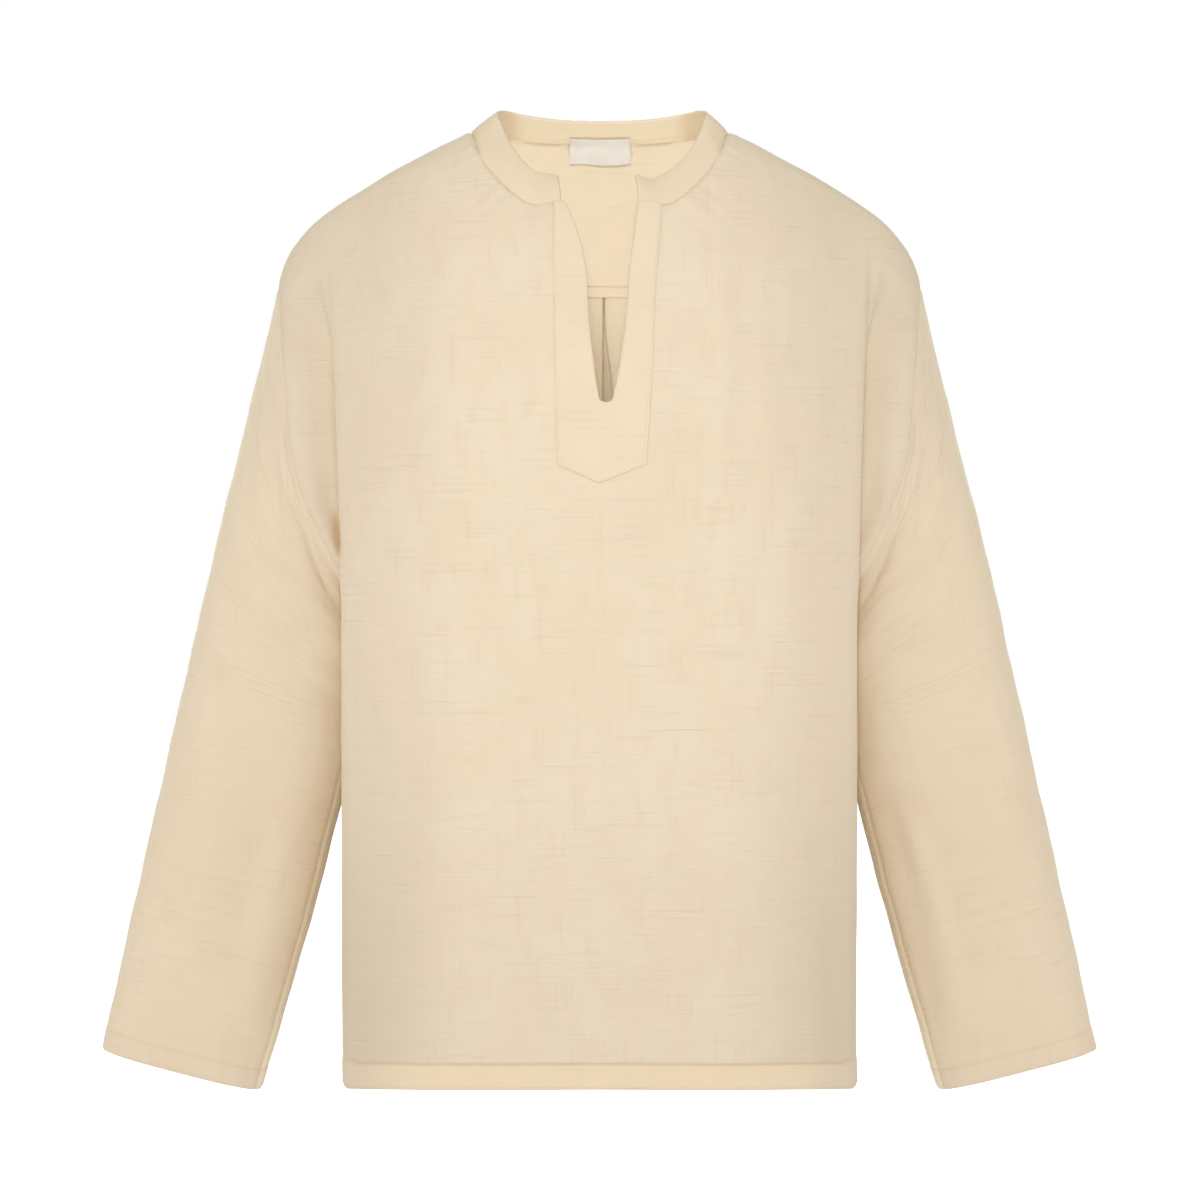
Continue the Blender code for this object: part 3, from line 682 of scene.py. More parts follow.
def around(line, offsets):
    """Close-set places on both sides of a stitched line."""
    return sorted(line + side * offset for offset in offsets for side in (-1, 1)) + [line]


def facing_out(grid, outward, closed=False, welded=None):
    """Which way the sheet faces at each of its points.

    welded is a row and a column: from that row down, the columns on both sides of the gap before it are one.
    """
    if welded:
        row, column = welded
        sides = (grid[:, :column], grid[:, column:])
        normals = np.concatenate([facing_out(part, outward) for part in sides], axis=1)
        shared = unit(normals[row:, column - 1] + normals[row:, column])
        normals[row:, column - 1] = normals[row:, column] = shared
        return normals
    if closed:
        across = np.roll(grid, -1, axis=1) - np.roll(grid, 1, axis=1)
    else:
        across = np.gradient(grid, axis=1)
    return unit(np.cross(np.gradient(grid, axis=0), across)) * outward


def from_line(grid, line, reach=0.05):
    """Each point's distance from a line of points, and how far along the line it is."""
    line = dense(line)
    run = run_along(line)
    flat = grid.reshape(-1, 3)
    distance = np.full(len(flat), reach)
    along = np.zeros(len(flat))
    low, high = line.min(axis=0) - reach, line.max(axis=0) + reach
    near = np.flatnonzero(((flat > low) & (flat < high)).all(axis=1))
    for part in np.array_split(near, max(1, len(near) // POINTS_AT_ONCE)):
        apart = np.linalg.norm(flat[part, None] - line[None], axis=2)
        nearest = apart.argmin(axis=1)
        distance[part] = apart[np.arange(len(part)), nearest]
        along[part] = run[nearest]
    return np.minimum(distance, reach).reshape(grid.shape[:2]), along.reshape(grid.shape[:2])


def from_either(grid, line):
    """Each point's distance from the line at +X or from its mirror image, whichever is nearer."""
    return np.minimum(*(from_line(grid, mirrored(line, sign))[0] for sign in (1, -1)))


def dense(line):
    """A line of points with more of them, so that distances to it come out smooth."""
    run = run_along(line)
    return on_line(line, run, np.linspace(0, run[-1], int(run[-1] / LINE_STEP) + 2))


def ripple(run, wavelength, phase):
    """An uneven wave along a seam, never quite the same from one gather to the next."""
    turn = 2 * np.pi * run / wavelength
    swell = 0.7 + 0.3 * np.sin(0.23 * turn + 2 * phase)
    return np.sin(turn + 1.9 * np.sin(0.37 * turn + phase) + phase) * swell


def seam(grid, line, pucker=0.0, wavelength=0.013, reach=0.009, phase=0.0, allowance=True):
    """The form that a seam gives a sheet: it dips to the stitches, lies over its allowance, and puckers."""
    distance, run = from_line(grid, line)
    form = -SEAM_DIP * bell(distance, SEAM_DIP_REACH)
    if allowance:
        within = 1 - smoothstep(ALLOWANCE - ALLOWANCE_EDGE, ALLOWANCE, distance)
        form += ALLOWANCE_RISE * (smoothstep(*ALLOWANCE_STARTS, distance) * within)
    gathers = ripple(run, wavelength, phase) * np.exp(-distance / reach)
    return form + pucker * (gathers * smoothstep(0, GATHERS_START, distance))


def folds(x, z, strokes):
    """The height that a table of listed folds gives at these places, ridges up and troughs down."""
    total = np.zeros(np.broadcast(x, z).shape)
    for x0, z0, x1, z1, bow, width, rise in strokes:
        way_x, way_z = x1 - x0, z1 - z0
        length = np.hypot(way_x, way_z)
        along = ((x - x0) * way_x + (z - z0) * way_z) / length**2
        aside = ((x - x0) * way_z - (z - z0) * way_x) / length - 4 * bow * along * (1 - along)
        fade = smoothstep(-FOLD_FADE, FOLD_FADE, along)
        fade = fade * (1 - smoothstep(1 - FOLD_FADE, 1 + FOLD_FADE, along))
        total += rise * fade * bell(aside, width)
    return total


def drift(x, z, size):
    """The faint unevenness of hanging cloth, longer down than across."""
    slow = np.sin(2 * np.pi * (x / 0.083 + 0.6 * np.sin(z / 0.11) + 0.2))
    middle = np.sin(2 * np.pi * (x / 0.041 - z / 0.52 + 0.35 * np.sin(z / 0.07 + 1.0)))
    level = np.sin(2 * np.pi * (z / 0.062 + 0.5 * np.sin(x / 0.05 + 2.0)))
    return size * (0.5 * slow + 0.3 * middle + 0.2 * level)


# How far past each of its ends a fold fades out, as a share of its length, and how uneven each piece hangs
FOLD_FADE = 0.25
DRIFTS = {"front": 0.0005, "back": 0.0006, "yoke": 0.0004, "sleeve": 0.0005}
# How much lower a sleeve's back carries the folds of its fellow's front
FELLOW_DROP = 0.012

# Folds of the front: each runs from x0, z0 to x1, z1, bows aside, and has a half width and a rise
FRONT_FOLDS = (
    (-0.152, -0.157, -0.133, -0.299, 0.000, 0.014, -0.0014),
    (-0.174, -0.232, -0.178, -0.328, 0.000, 0.010, 0.0012),
    (-0.178, -0.345, -0.148, -0.477, 0.003, 0.008, 0.0016),
    (-0.163, -0.358, -0.130, -0.477, 0.003, 0.012, -0.0012),
    (-0.115, -0.320, -0.127, -0.600, 0.004, 0.013, 0.0018),
    (-0.128, -0.600, -0.130, -0.705, 0.000, 0.013, 0.0014),
    (-0.141, -0.500, -0.160, -0.700, 0.004, 0.014, -0.0018),
    (-0.081, -0.313, -0.081, -0.417, 0.000, 0.006, -0.0005),
    (-0.093, -0.090, -0.108, -0.260, 0.003, 0.010, -0.0008),
    (-0.125, -0.060, -0.150, -0.190, 0.003, 0.009, -0.0010),
    (0.108, -0.083, 0.112, -0.269, 0.002, 0.009, -0.0012),
    (0.127, -0.083, 0.141, -0.224, 0.002, 0.009, -0.0008),
    (0.090, -0.098, 0.094, -0.284, 0.000, 0.010, 0.0008),
    (0.141, -0.284, 0.149, -0.388, 0.000, 0.012, 0.0012),
    (0.120, -0.300, 0.118, -0.440, 0.003, 0.014, -0.0010),
    (0.097, -0.447, 0.093, -0.705, 0.003, 0.020, 0.0020),
    (0.138, -0.551, 0.141, -0.705, 0.000, 0.014, -0.0018),
    (0.170, -0.600, 0.178, -0.705, 0.000, 0.008, -0.0012),
    (-0.040, -0.239, -0.004, -0.290, 0.004, 0.008, -0.0008),
    (-0.004, -0.290, 0.042, -0.280, 0.004, 0.008, -0.0007),
    (-0.030, -0.629, 0.075, -0.629, -0.004, 0.014, 0.0010),
    (-0.045, -0.663, 0.075, -0.663, 0.003, 0.014, -0.0010),
    (-0.020, -0.380, 0.060, -0.372, 0.003, 0.016, -0.0007),
    (0.000, -0.480, 0.080, -0.500, 0.006, 0.018, -0.0008),
    (-0.060, -0.440, 0.010, -0.455, -0.004, 0.016, 0.0007),
    (-0.1990, -0.292, -0.1964, -0.322, 0.000, 0.0028, -0.0050),
)

# Painted shade: where the front's folds hold a warm dark shade, painted into the cloth's colour: the same,
# with a strength for the rise
FRONT_CREASE_SHADES = (
    (-0.2040, -0.150, -0.1960, -0.300, 0.000, 0.0018, 0.22),
    (-0.1985, -0.293, -0.1958, -0.322, 0.001, 0.0022, 0.65),
    (-0.1965, -0.300, -0.1950, -0.318, 0.000, 0.0014, 0.35),
    (-0.1950, -0.340, -0.1930, -0.480, 0.000, 0.0012, 0.14),
    (0.2040, -0.110, 0.1960, -0.300, 0.000, 0.0018, 0.26),
    (0.1955, -0.320, 0.1930, -0.480, 0.000, 0.0014, 0.26),
)

# Folds of the back, of the same kind
BACK_FOLDS = (
    (-0.150, -0.190, -0.128, -0.330, 0.003, 0.014, -0.0014),
    (0.152, -0.180, 0.132, -0.340, -0.003, 0.014, -0.0015),
    (-0.110, -0.300, -0.122, -0.600, 0.005, 0.014, 0.0018),
    (0.108, -0.280, 0.118, -0.580, -0.004, 0.014, 0.0018),
    (-0.140, -0.480, -0.155, -0.705, 0.004, 0.014, -0.0018),
    (0.139, -0.500, 0.152, -0.705, -0.003, 0.014, -0.0018),
    (-0.075, -0.520, -0.084, -0.705, 0.003, 0.016, -0.0014),
    (0.072, -0.540, 0.078, -0.705, -0.003, 0.016, -0.0014),
    (-0.180, -0.345, -0.150, -0.480, 0.004, 0.009, 0.0014),
    (0.180, -0.350, 0.152, -0.470, -0.004, 0.009, 0.0014),
    (-0.060, -0.400, 0.010, -0.415, 0.004, 0.016, -0.0006),
    (0.005, -0.610, 0.070, -0.600, -0.004, 0.016, 0.0008),
)

# Folds of the sleeves, as seen from the front: on the wearer's right and on the wearer's left
SLEEVE_FOLDS = {
    "right": (
        (-0.203, -0.336, -0.190, -0.374, 0.000, 0.006, 0.0034),
        (-0.285, -0.350, -0.230, -0.400, 0.006, 0.009, -0.0022),
        (-0.292, -0.395, -0.225, -0.432, 0.005, 0.010, 0.0016),
        (-0.250, -0.385, -0.200, -0.430, 0.003, 0.006, -0.0016),
        (-0.236, -0.352, -0.200, -0.380, 0.002, 0.004, -0.0010),
        (-0.290, -0.420, -0.262, -0.500, 0.006, 0.012, -0.0014),
        (-0.272, -0.420, -0.312, -0.640, 0.004, 0.016, 0.0026),
        (-0.246, -0.500, -0.275, -0.640, 0.003, 0.012, -0.0020),
        (-0.335, -0.560, -0.350, -0.670, 0.000, 0.010, -0.0014),
        (-0.262, -0.658, -0.310, -0.640, 0.004, 0.005, -0.0014),
        (-0.262, -0.700, -0.285, -0.680, 0.002, 0.004, -0.0010),
        (-0.330, -0.640, -0.350, -0.690, 0.003, 0.008, 0.0012),
        (-0.205, -0.170, -0.222, -0.300, 0.004, 0.008, -0.0010),
        (-0.240, -0.200, -0.250, -0.330, -0.004, 0.012, 0.0012),
    ),
    "left": (
        (0.203, -0.336, 0.190, -0.374, 0.000, 0.006, 0.0034),
        (0.205, -0.335, 0.232, -0.318, 0.002, 0.004, -0.0012),
        (0.207, -0.352, 0.228, -0.340, 0.002, 0.004, -0.0010),
        (0.205, -0.400, 0.262, -0.383, 0.003, 0.005, -0.0014),
        (0.212, -0.372, 0.255, -0.360, 0.002, 0.006, 0.0010),
        (0.278, -0.290, 0.318, -0.520, -0.004, 0.016, 0.0022),
        (0.300, -0.500, 0.335, -0.660, -0.003, 0.016, 0.0024),
        (0.214, -0.500, 0.258, -0.690, -0.003, 0.009, -0.0022),
        (0.245, -0.520, 0.285, -0.680, -0.003, 0.012, -0.0016),
        (0.232, -0.520, 0.270, -0.640, -0.002, 0.007, 0.0014),
        (0.300, -0.380, 0.318, -0.470, 0.000, 0.009, -0.0012),
        (0.240, -0.180, 0.250, -0.320, 0.004, 0.012, 0.0012),
        (0.210, -0.170, 0.216, -0.290, 0.003, 0.007, -0.0010),
    ),
}


def front_relief(x, z):
    """How far the hanging front stands off its plain form."""
    return folds(x, z, FRONT_FOLDS) + drift(x, z, DRIFTS["front"])


def back_relief(x, z):
    return folds(x, z, BACK_FOLDS) + drift(-x + 0.3, z + 0.1, DRIFTS["back"])


def chest_normal(x, z):
    """The way the chest faces at this place, from its slopes."""
    aside = body_depth("front", x + SLOPE_STEP, z) - body_depth("front", x - SLOPE_STEP, z)
    above = body_depth("front", x, z + SLOPE_STEP) - body_depth("front", x, z - SLOPE_STEP)
    return -unit(points(aside / (2 * SLOPE_STEP), 1.0, above / (2 * SLOPE_STEP)))


def laid_on_front(x, z, height):
    """A point laid on the draped front, so far outside it."""
    base = points(x, -body_depth("front", x, z), z)
    return base + chest_normal(x, z) * (front_relief(x, z) + height)[..., None]


def grain(grid, face):
    """Cloth coordinates of a body panel: across along each row, down along the panel's own fall."""
    steps = np.linspace(0, LONGEST_DROP, DROP_POINTS)
    slope = np.gradient(read(DEPTH, face, steps), steps)
    fall = np.concatenate([[0], np.cumsum(np.hypot(1, slope)[1:] * np.diff(steps))])
    across = np.linalg.norm(np.diff(grid, axis=1), axis=2)
    run = np.concatenate([np.zeros((len(grid), 1)), np.cumsum(across, axis=1)], axis=1)
    half = grid.shape[1] // 2
    middle = (run[:, half - 1] + run[:, half]) / 2
    start = (grid[:, half - 1, 0] + grid[:, half, 0]) / 2
    u = run - middle[:, None] + start[:, None]
    x = np.clip(grid[..., 0], -HALF_WIDTH, HALF_WIDTH)
    drop = drop_below_shoulder(x, grid[..., 2])
    v = read(SHOULDER, "z", abs(x)) - np.interp(drop, steps, fall)
    return np.stack([u, v], axis=-1)


# Making a mesh of a sheet


def quads_of(index, closed, outward, kept=None):
    """The faces between a grid's points, turned outward."""
    after = np.roll(index, -1, axis=1) if closed else index[:, 1:]
    before = index if closed else index[:, :-1]
    quads = np.stack([before[:-1], after[:-1], after[1:], before[1:]], axis=-1)
    if outward > 0:
        quads = quads[..., ::-1]
    return quads.reshape(-1, 4) if kept is None else quads[kept]


def rim_edges(quads):
    """The edges that only one face has, in that face's order."""
    edges = np.concatenate([quads[:, [k, (k + 1) % 4]] for k in range(4)])
    names = np.sort(edges, axis=1)
    _, index, count = np.unique(names, axis=0, return_inverse=True, return_counts=True)
    return edges[count[index.reshape(-1)] == 1]


def shell(name, grid, uv, thickness, outward, closed=False, welded=None, **marks):
    """A cloth piece: the sheet's two faces, so thick apart, closed by a rounded rim along every edge.

    welded is as in facing_out. The marks for the finish are band for doubled cloth, painted shade in creases,
    the same painted shade on the inner face only (shaded), and painted light on a sleeve's edge, which the
    finish adds to the inner face's painted light.
    """
    rows, columns = grid.shape[:2]
    normals = facing_out(grid, outward, closed, welded)
    index = np.arange(rows * columns).reshape(rows, columns)
    kept = None
    if welded:
        row, column = welded
        index[row:, column] = index[row:, column - 1]
        kept = np.ones((rows - 1, columns - 1), bool)
        kept[:, column - 1] = False
    quads = quads_of(index, closed, outward, kept)
    flat = grid.reshape(-1, 3)
    turned = normals.reshape(-1, 3)
    half = np.broadcast_to(thickness, (rows, columns)).reshape(-1, 1) / 2
    edges = rim_edges(quads)
    aside = unit(np.cross(flat[edges[:, 1]] - flat[edges[:, 0]], turned[edges[:, 0]]))
    away = np.zeros_like(flat)
    for end in (0, 1):
        np.add.at(away, edges[:, end], aside)
    count = len(flat)
    corners = np.vstack([flat + turned * half, flat - turned * half, flat + unit(away) * half])
    a, b = edges.T
    rim = np.stack([b, a, a + 2 * count, b + 2 * count], axis=1)
    rim_in = np.stack([b + 2 * count, a + 2 * count, a + count, b + count], axis=1)
    faces = np.vstack([quads, quads[:, ::-1] + count, rim, rim_in])
    used, faces_used = np.unique(faces, return_inverse=True)
    faces_used = faces_used.reshape(-1, 4)
    mesh = bpy.data.meshes.new(name)
    mesh.from_pydata(corners[used].tolist(), [], faces_used.tolist())
    layer = mesh.uv_layers.new(name="cloth")
    layer.data.foreach_set("uv", uv.reshape(-1, 2)[used[faces_used.reshape(-1)] % count].reshape(-1))
    inner = (used >= count) & (used < 2 * count)
    band, crease_shade, shaded, painted_light = (
        np.broadcast_to(marks.get(mark, 0.0), (rows, columns)).reshape(-1)[used % count]
        for mark in ("band", "crease_shade", "shaded", "painted_light")
    )
    # The inner face, and a sleeve's marked edge, get painted light; creases get painted shade
    drawn = {"inner": np.maximum(inner, painted_light), "band": band, "crease_shade": np.maximum(crease_shade, shaded * inner)}
    for mark, values in drawn.items():
        mesh.attributes.new(mark, "FLOAT", "POINT").data.foreach_set("value", values.astype(float))
    return linked(name, mesh)


def linked(name, mesh):
    """A smooth-shaded object of the mesh, in the scene."""
    mesh.shade_smooth()
    mesh.update()
    piece = bpy.data.objects.new(name, mesh)
    bpy.context.scene.collection.objects.link(piece)
    return piece


def dressed(piece, finish, node=None):
    """The piece with its finish. It replaces the node that it stands for."""
    piece.data.materials.append(bpy.data.materials[finish])
    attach(piece, "root")
    if node:
        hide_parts(node)
    return piece


def stitch_shape(length, radius):
    """One stitch as it lies on cloth: a short fat thread whose ends go down into it."""
    bpy.ops.object.select_all(action="DESELECT")
    bpy.ops.mesh.primitive_cylinder_add(vertices=6, radius=radius, depth=length, rotation=(0, np.pi / 2, 0))
    stitch = bpy.context.object
    bpy.ops.object.transform_apply(location=True, rotation=True, scale=True)
    bpy.ops.object.mode_set(mode="EDIT")
    bpy.ops.mesh.select_all(action="SELECT")
    bpy.ops.mesh.subdivide(number_cuts=2)
    bpy.ops.object.mode_set(mode="OBJECT")
    mesh = stitch.data
    flat = np.array([tuple(v.co) for v in mesh.vertices])
    share = abs(flat[:, 0]) / (length / 2)
    flat[:, 1] *= 1 - STITCH_TAPER * share**2
    flat[:, 2] -= STITCH_DIVE * radius * share**2
    corners = [tuple(polygon.vertices) for polygon in mesh.polygons]
    bpy.data.objects.remove(stitch)
    bpy.data.meshes.remove(mesh)
    return flat, corners


def sew(name, lines, length=0.0024, gap=0.0013, radius=0.00018):
    """Rows of stitches along lines of points that lie on the cloth, each with the way the cloth faces."""
    shape, corners = stitch_shape(length, radius)
    every, faces, start = [], [], 0
    for line, facing in lines:
        run = run_along(line)
        at = np.arange(length, run[-1] - length / 2, length + gap)
        place = on_line(line, run, at)
        way = unit(on_line(line, run, at + length / 2) - place)
        side = unit(np.cross(unit(on_line(facing, run, at)), way))
        out = np.cross(way, side)
        for k in range(len(at)):
            turned = shape @ np.array([way[k], side[k], out[k]])
            faces += [tuple(start + c for c in corner) for corner in corners]
            every.append(turned + place[k] + out[k] * radius * STITCH_RISE)
            start += len(turned)
    mesh = bpy.data.meshes.new(name)
    mesh.from_pydata(np.vstack(every).tolist(), [], faces)
    return dressed(linked(name, mesh), "thread")


def hem_form(grid, line, band, pucker, phase):
    """The turned hem's form: a fuller band below a row of stitches that sink in and draw the cloth up.

    Returned with it: how far each point is in the band, and how far in the stitches' line.
    """
    distance, run = from_line(grid, line, HEM_REACH)
    in_band = 1 - smoothstep(band - HEM_EDGE, band + HEM_EDGE, distance)
    stitched = bell(distance - band, STITCH_SINK_REACH)
    drawn = ripple(run, HEM_WAVELENGTH, phase) * np.exp(-abs(distance - band) / HEM_PUCKER_REACH)
    return HEM_RISE * in_band - STITCH_SINK * stitched + pucker * drawn, in_band, stitched


def band_fade(grid):
    """How warm the hem's band shows: less toward the side seams."""
    return 1 - BAND_FADE * smoothstep(*BAND_FADES, abs(grid[..., 0]))


def corner_lift(from_end, above, radius=CORNER_RADIUS):
    """How far a hem rises where it turns the corner at a side seam."""
    into = np.clip(1 - from_end / radius, 0, 1)
    return radius * (1 - np.sqrt(1 - into**2)) * np.exp(-above / CORNER_REACH)


def panel_rows(coarse, heights, make):
    """A body panel's fine rows, closer beside the hem's stitches, and the row that the stitches run along."""
    stitched = row_of_height(heights, HEM_Z + HEM_BAND)
    close = around(stitched, [offset * ROWS_PER_METRE for offset in BESIDE_STITCHES])
    edge = HEM - BESIDE_STITCHES[-1] * ROWS_PER_METRE
    rows = fine_rows(sorted([*coarse, *close]) + [edge, HEM], make)
    return rows, int(np.abs(rows - stitched).argmin())


def round_hem_corners(grid):
    end = read(FOLD, "lip_x", HEM)
    grid[..., 2] += corner_lift(end - abs(grid[..., 0]), grid[..., 2] - HEM_Z)


def front_sheet():
    """The front's sheet, its rows, and which of them the hem's stitches run along."""
    foot_depths = FOOT_TOP + FOOT_RADIUS * np.sin(FOOT_TURNS[:-1])
    foot = [row_of_height(FRONT_START, -depth) for depth in foot_depths]
    rows, stitch_row = panel_rows([*FRONT_ROWS, *foot], FRONT_START, lambda row: front_row(row, "left"))
    right, left = (np.array([front_row(row, half) for row in rows]) for half in ("right", "left"))
    return np.concatenate([mirrored(right[:, ::-1], -1), left], axis=1), rows, stitch_row


def seam_lines():
    """The seams that the body's pieces share, as lines of points at +X."""
    rows = np.linspace(0, 1, ARMHOLE_POINTS)
    down = np.linspace(ARMPIT, HEM, SIDE_POINTS)
    return {
        "neck": neck_seam(np.linspace(-0.2, NECK_FRONT, NECK_POINTS)),
        "shoulder": front_row(0.0, "left"),
        "front armhole": np.array([armhole(row, "front")[0] for row in rows]),
        "back armhole": np.array([armhole(row, "back")[0] for row in rows]),
        "side": np.array([outer_end(row, "front")[0] for row in down]),
    }


def upper_armhole(grid):
    """How clearly the armhole's seam shows: it sinks into the folds toward the armpit."""
    return 1 - SEAM_SUNK * smoothstep(*SEAM_SINKS, -grid[..., 2])


def thinned(grid, line):
    """How thick the cloth lies: less beside an armhole's seam, where the seam sinks out of sight."""
    return 1 - THINNED * bell(from_either(grid, line), THINNED_REACH) * (1 - upper_armhole(grid))


def under_collar(grid):
    """How the neck's edge reaches up inside the collar's fold, so that no gap shows along the seam."""
    places = np.linspace(0, NECK_FRONT, UNDER_COLLAR_POINTS)
    moves = np.zeros_like(grid)
    for sign in (-1, 1):
        line, rim = mirrored(neck_seam(places), sign), mirrored(collar_rim(places), sign)
        reach = UNDER_COLLAR * (1 - smoothstep(*UNDER_COLLAR_ENDS, places))
        on_seam = from_line(grid, line)[0] < ON_SEAM
        nearest = np.linalg.norm(grid[on_seam][:, None] - line, axis=2).argmin(axis=1)
        moves[on_seam] = (unit(rim - line) * reach[:, None])[nearest]
    return moves


def both_sides(grid, line, **form):
    """A seam's form from the line at +X and its mirror image."""
    return seam(grid, line, **form) + seam(mirrored(grid, -1), line, **form)


def sew_hem(name, grid, outward, out, row, cloth):
    """The stitches of a body panel's hem, on the outer face of the given row."""
    surface = grid + facing_out(grid, outward) * cloth.wall / 2
    return sew(name, [(surface[row], out[row])])


# The front: where its folds are calmer beside the lip, and the shade under the low part of the collar
LIP_CALMER = 0.5
LIP_CALM = (0.150, 0.190)
LIP_CALM_DEPTHS = (0.3, 0.5)
LOW_NECK = (0.012, 0.045)
COLLAR_CREASE = 0.6
COLLAR_CREASE_REACH = 0.0009


def make_front(cloth):
    grid, rows, stitch_row = front_sheet()
    round_hem_corners(grid)
    lines = seam_lines()
    relief = front_relief(grid[..., 0], grid[..., 2])
    lip = smoothstep(*LIP_CALM, abs(grid[..., 0]))
    relief *= 1 - LIP_CALMER * lip * (1 - smoothstep(*LIP_CALM_DEPTHS, -grid[..., 2]))
    relief += both_sides(grid, lines["neck"], pucker=0.0012, wavelength=0.017, reach=0.024, phase=0.4)
    relief += both_sides(grid, lines["shoulder"], **SHOULDER_PUCKER)
    armholes = both_sides(grid, lines["front armhole"], **ARMHOLE_PUCKER, phase=1.1, allowance=False)
    relief += armholes * upper_armhole(grid)
    relief += both_sides(grid, lines["side"], **SIDE_PUCKER)
    hem, in_band, stitched = hem_form(grid, grid[-1], HEM_BAND, HEM_PUCKER, phase=0.8)
    relief += hem
    first, middle = int(np.searchsorted(rows, SLIT_END - 1e-9)), grid.shape[1] // 2
    out = facing_out(grid, 1, welded=(first, middle))
    shared = (relief[first:, middle - 1] + relief[first:, middle]) / 2
    relief[first:, middle - 1] = relief[first:, middle] = shared
    uv = grain(grid, "front")
    thickness = cloth.wall * (1 + HEM_FULLNESS * in_band) * thinned(grid, lines["front armhole"])
    grid = grid + out * relief[..., None] + under_collar(grid)
    low_neck = smoothstep(*LOW_NECK, -grid[..., 2])
    below_collar = bell(from_either(grid, lines["neck"]), COLLAR_CREASE_REACH)
    # Painted shade: the front's creases and its recess by the armpit, the line under the collar, and the
    # hem's stitched line
    crease_shade = np.clip(folds(grid[..., 0], grid[..., 2], FRONT_CREASE_SHADES), 0, 1)
    crease_shade = np.maximum(crease_shade, COLLAR_CREASE * low_neck * below_collar)
    crease_shade = np.maximum(crease_shade, stitched * HEM_CREASE)
    marks = {"band": in_band * band_fade(grid), "crease_shade": crease_shade}
    piece = shell("front_panel", grid, uv, thickness, 1, welded=(first, middle), **marks)
    dressed(piece, "body gauze", "front")
    seam_stitches = sew_hem("front_hem_stitches", grid, 1, out, stitch_row, cloth)


# How far the pleat hangs toward the wearer's left, by depth below the neck
PLEAT_SHIFT = table(
    "depth x",
    (0.113, 0.0034),
    (0.145, 0.0038),
    (0.160, 0.0046),
    (0.175, 0.0056),
    (0.195, 0.0067),
    (0.215, 0.0076),
    (0.300, 0.0080),
    (0.450, 0.0),
)
PLEAT_SHIFTS = (0.03, 0.09)
# Where the back's folds are calmer, on the folded pleat, and how much thinner each layer lies there
PLEAT_CALM = (0.020, 0.045)
PLEAT_CALM_DEPTHS = (0.16, 0.30)
PLEAT_THINNED = 0.25
# The shade of the pleat's fold edges and between them, and the depths where it starts and ends
PLEAT_CREASE = 0.0008
PLEAT_SHADES = {"crisp": 0.45, "soft": 0.15, "between": 0.25}
PLEAT_SHADE_STARTS = (0.12, 0.19)
PLEAT_SHADE_ENDS = (0.24, 0.36)


def pleat_crease(grid):
    """The shaded creases along the pleat's two fold edges, crisp on one side and fading on the other."""
    middle = grid.shape[1] // 2
    edge = grid[:, middle + sum(PLEAT_COLUMNS[:5]), 0][:, None]
    x, depth = grid[..., 0], -grid[..., 2]
    crisp = bell(x + edge, PLEAT_CREASE) * PLEAT_SHADES["crisp"]
    soft = bell(x - edge, 2 * PLEAT_CREASE) * PLEAT_SHADES["soft"]
    between = (abs(x) < edge) * smoothstep(*PLEAT_SHADE_STARTS, depth) * PLEAT_SHADES["between"]
    return np.maximum(np.maximum(crisp, soft), between) * (1 - smoothstep(*PLEAT_SHADE_ENDS, depth))


def make_back(cloth):
    rows, stitch_row = panel_rows(BACK_ROWS, BACK_START, back_row)
    half = np.array([back_row(row) for row in rows])
    grid = np.concatenate([mirrored(half[:, :0:-1], -1), half], axis=1)
    round_hem_corners(grid)
    lines = seam_lines()
    shade = pleat_crease(grid)
    near_pleat = 1 - smoothstep(*PLEAT_SHIFTS, abs(grid[..., 0]))
    grid[..., 0] += read(PLEAT_SHIFT, "x", -grid[..., 2]) * near_pleat
    relief = back_relief(grid[..., 0], grid[..., 2])
    pleat = 1 - smoothstep(*PLEAT_CALM, abs(grid[..., 0]))
    folded = pleat * (1 - smoothstep(*PLEAT_CALM_DEPTHS, -grid[..., 2]))
    relief *= 1 - folded
    relief += both_sides(grid, lines["back armhole"], **ARMHOLE_PUCKER, phase=2.1, allowance=False)
    relief += both_sides(grid, lines["side"], **SIDE_PUCKER)
    relief += seam(grid, grid[0], allowance=False) * (1 - folded)
    hem, in_band, stitched = hem_form(grid, grid[-1], HEM_BAND, HEM_PUCKER, phase=2.8)
    relief += hem
    uv = grain(grid, "back")
    thin = thinned(grid, lines["back armhole"])
    thickness = cloth.wall * (1 + HEM_FULLNESS * in_band) * (1 - PLEAT_THINNED * folded) * thin
    out = facing_out(grid, -1)
    grid = grid + out * relief[..., None]
    marks = {"band": in_band * band_fade(grid), "crease_shade": stitched * HEM_CREASE, "shaded": shade}
    piece = shell("back_panel", grid, uv, thickness, -1, **marks)
    dressed(piece, "body gauze", "back")
    seam_stitches = sew_hem("back_hem_stitches", grid, -1, out, stitch_row, cloth)


# The shade under the collar's seam inside, and the felled seam: its rows, half width and thickness
YOKE_SHADOW = 0.8
YOKE_SHADOW_REACH = 0.0014
FELLED = table(
    "offset sunk",
    (-0.0042, 0.0002),
    (-0.0040, 0.0010),
    (-0.0025, 0.0013),
    (0.0, 0.0013),
    (0.0025, 0.0013),
    (0.0040, 0.0010),
    (0.0042, 0.0002),
)
FELLED_HALF_WIDTH = 0.165
FELLED_THICKNESS = 0.8


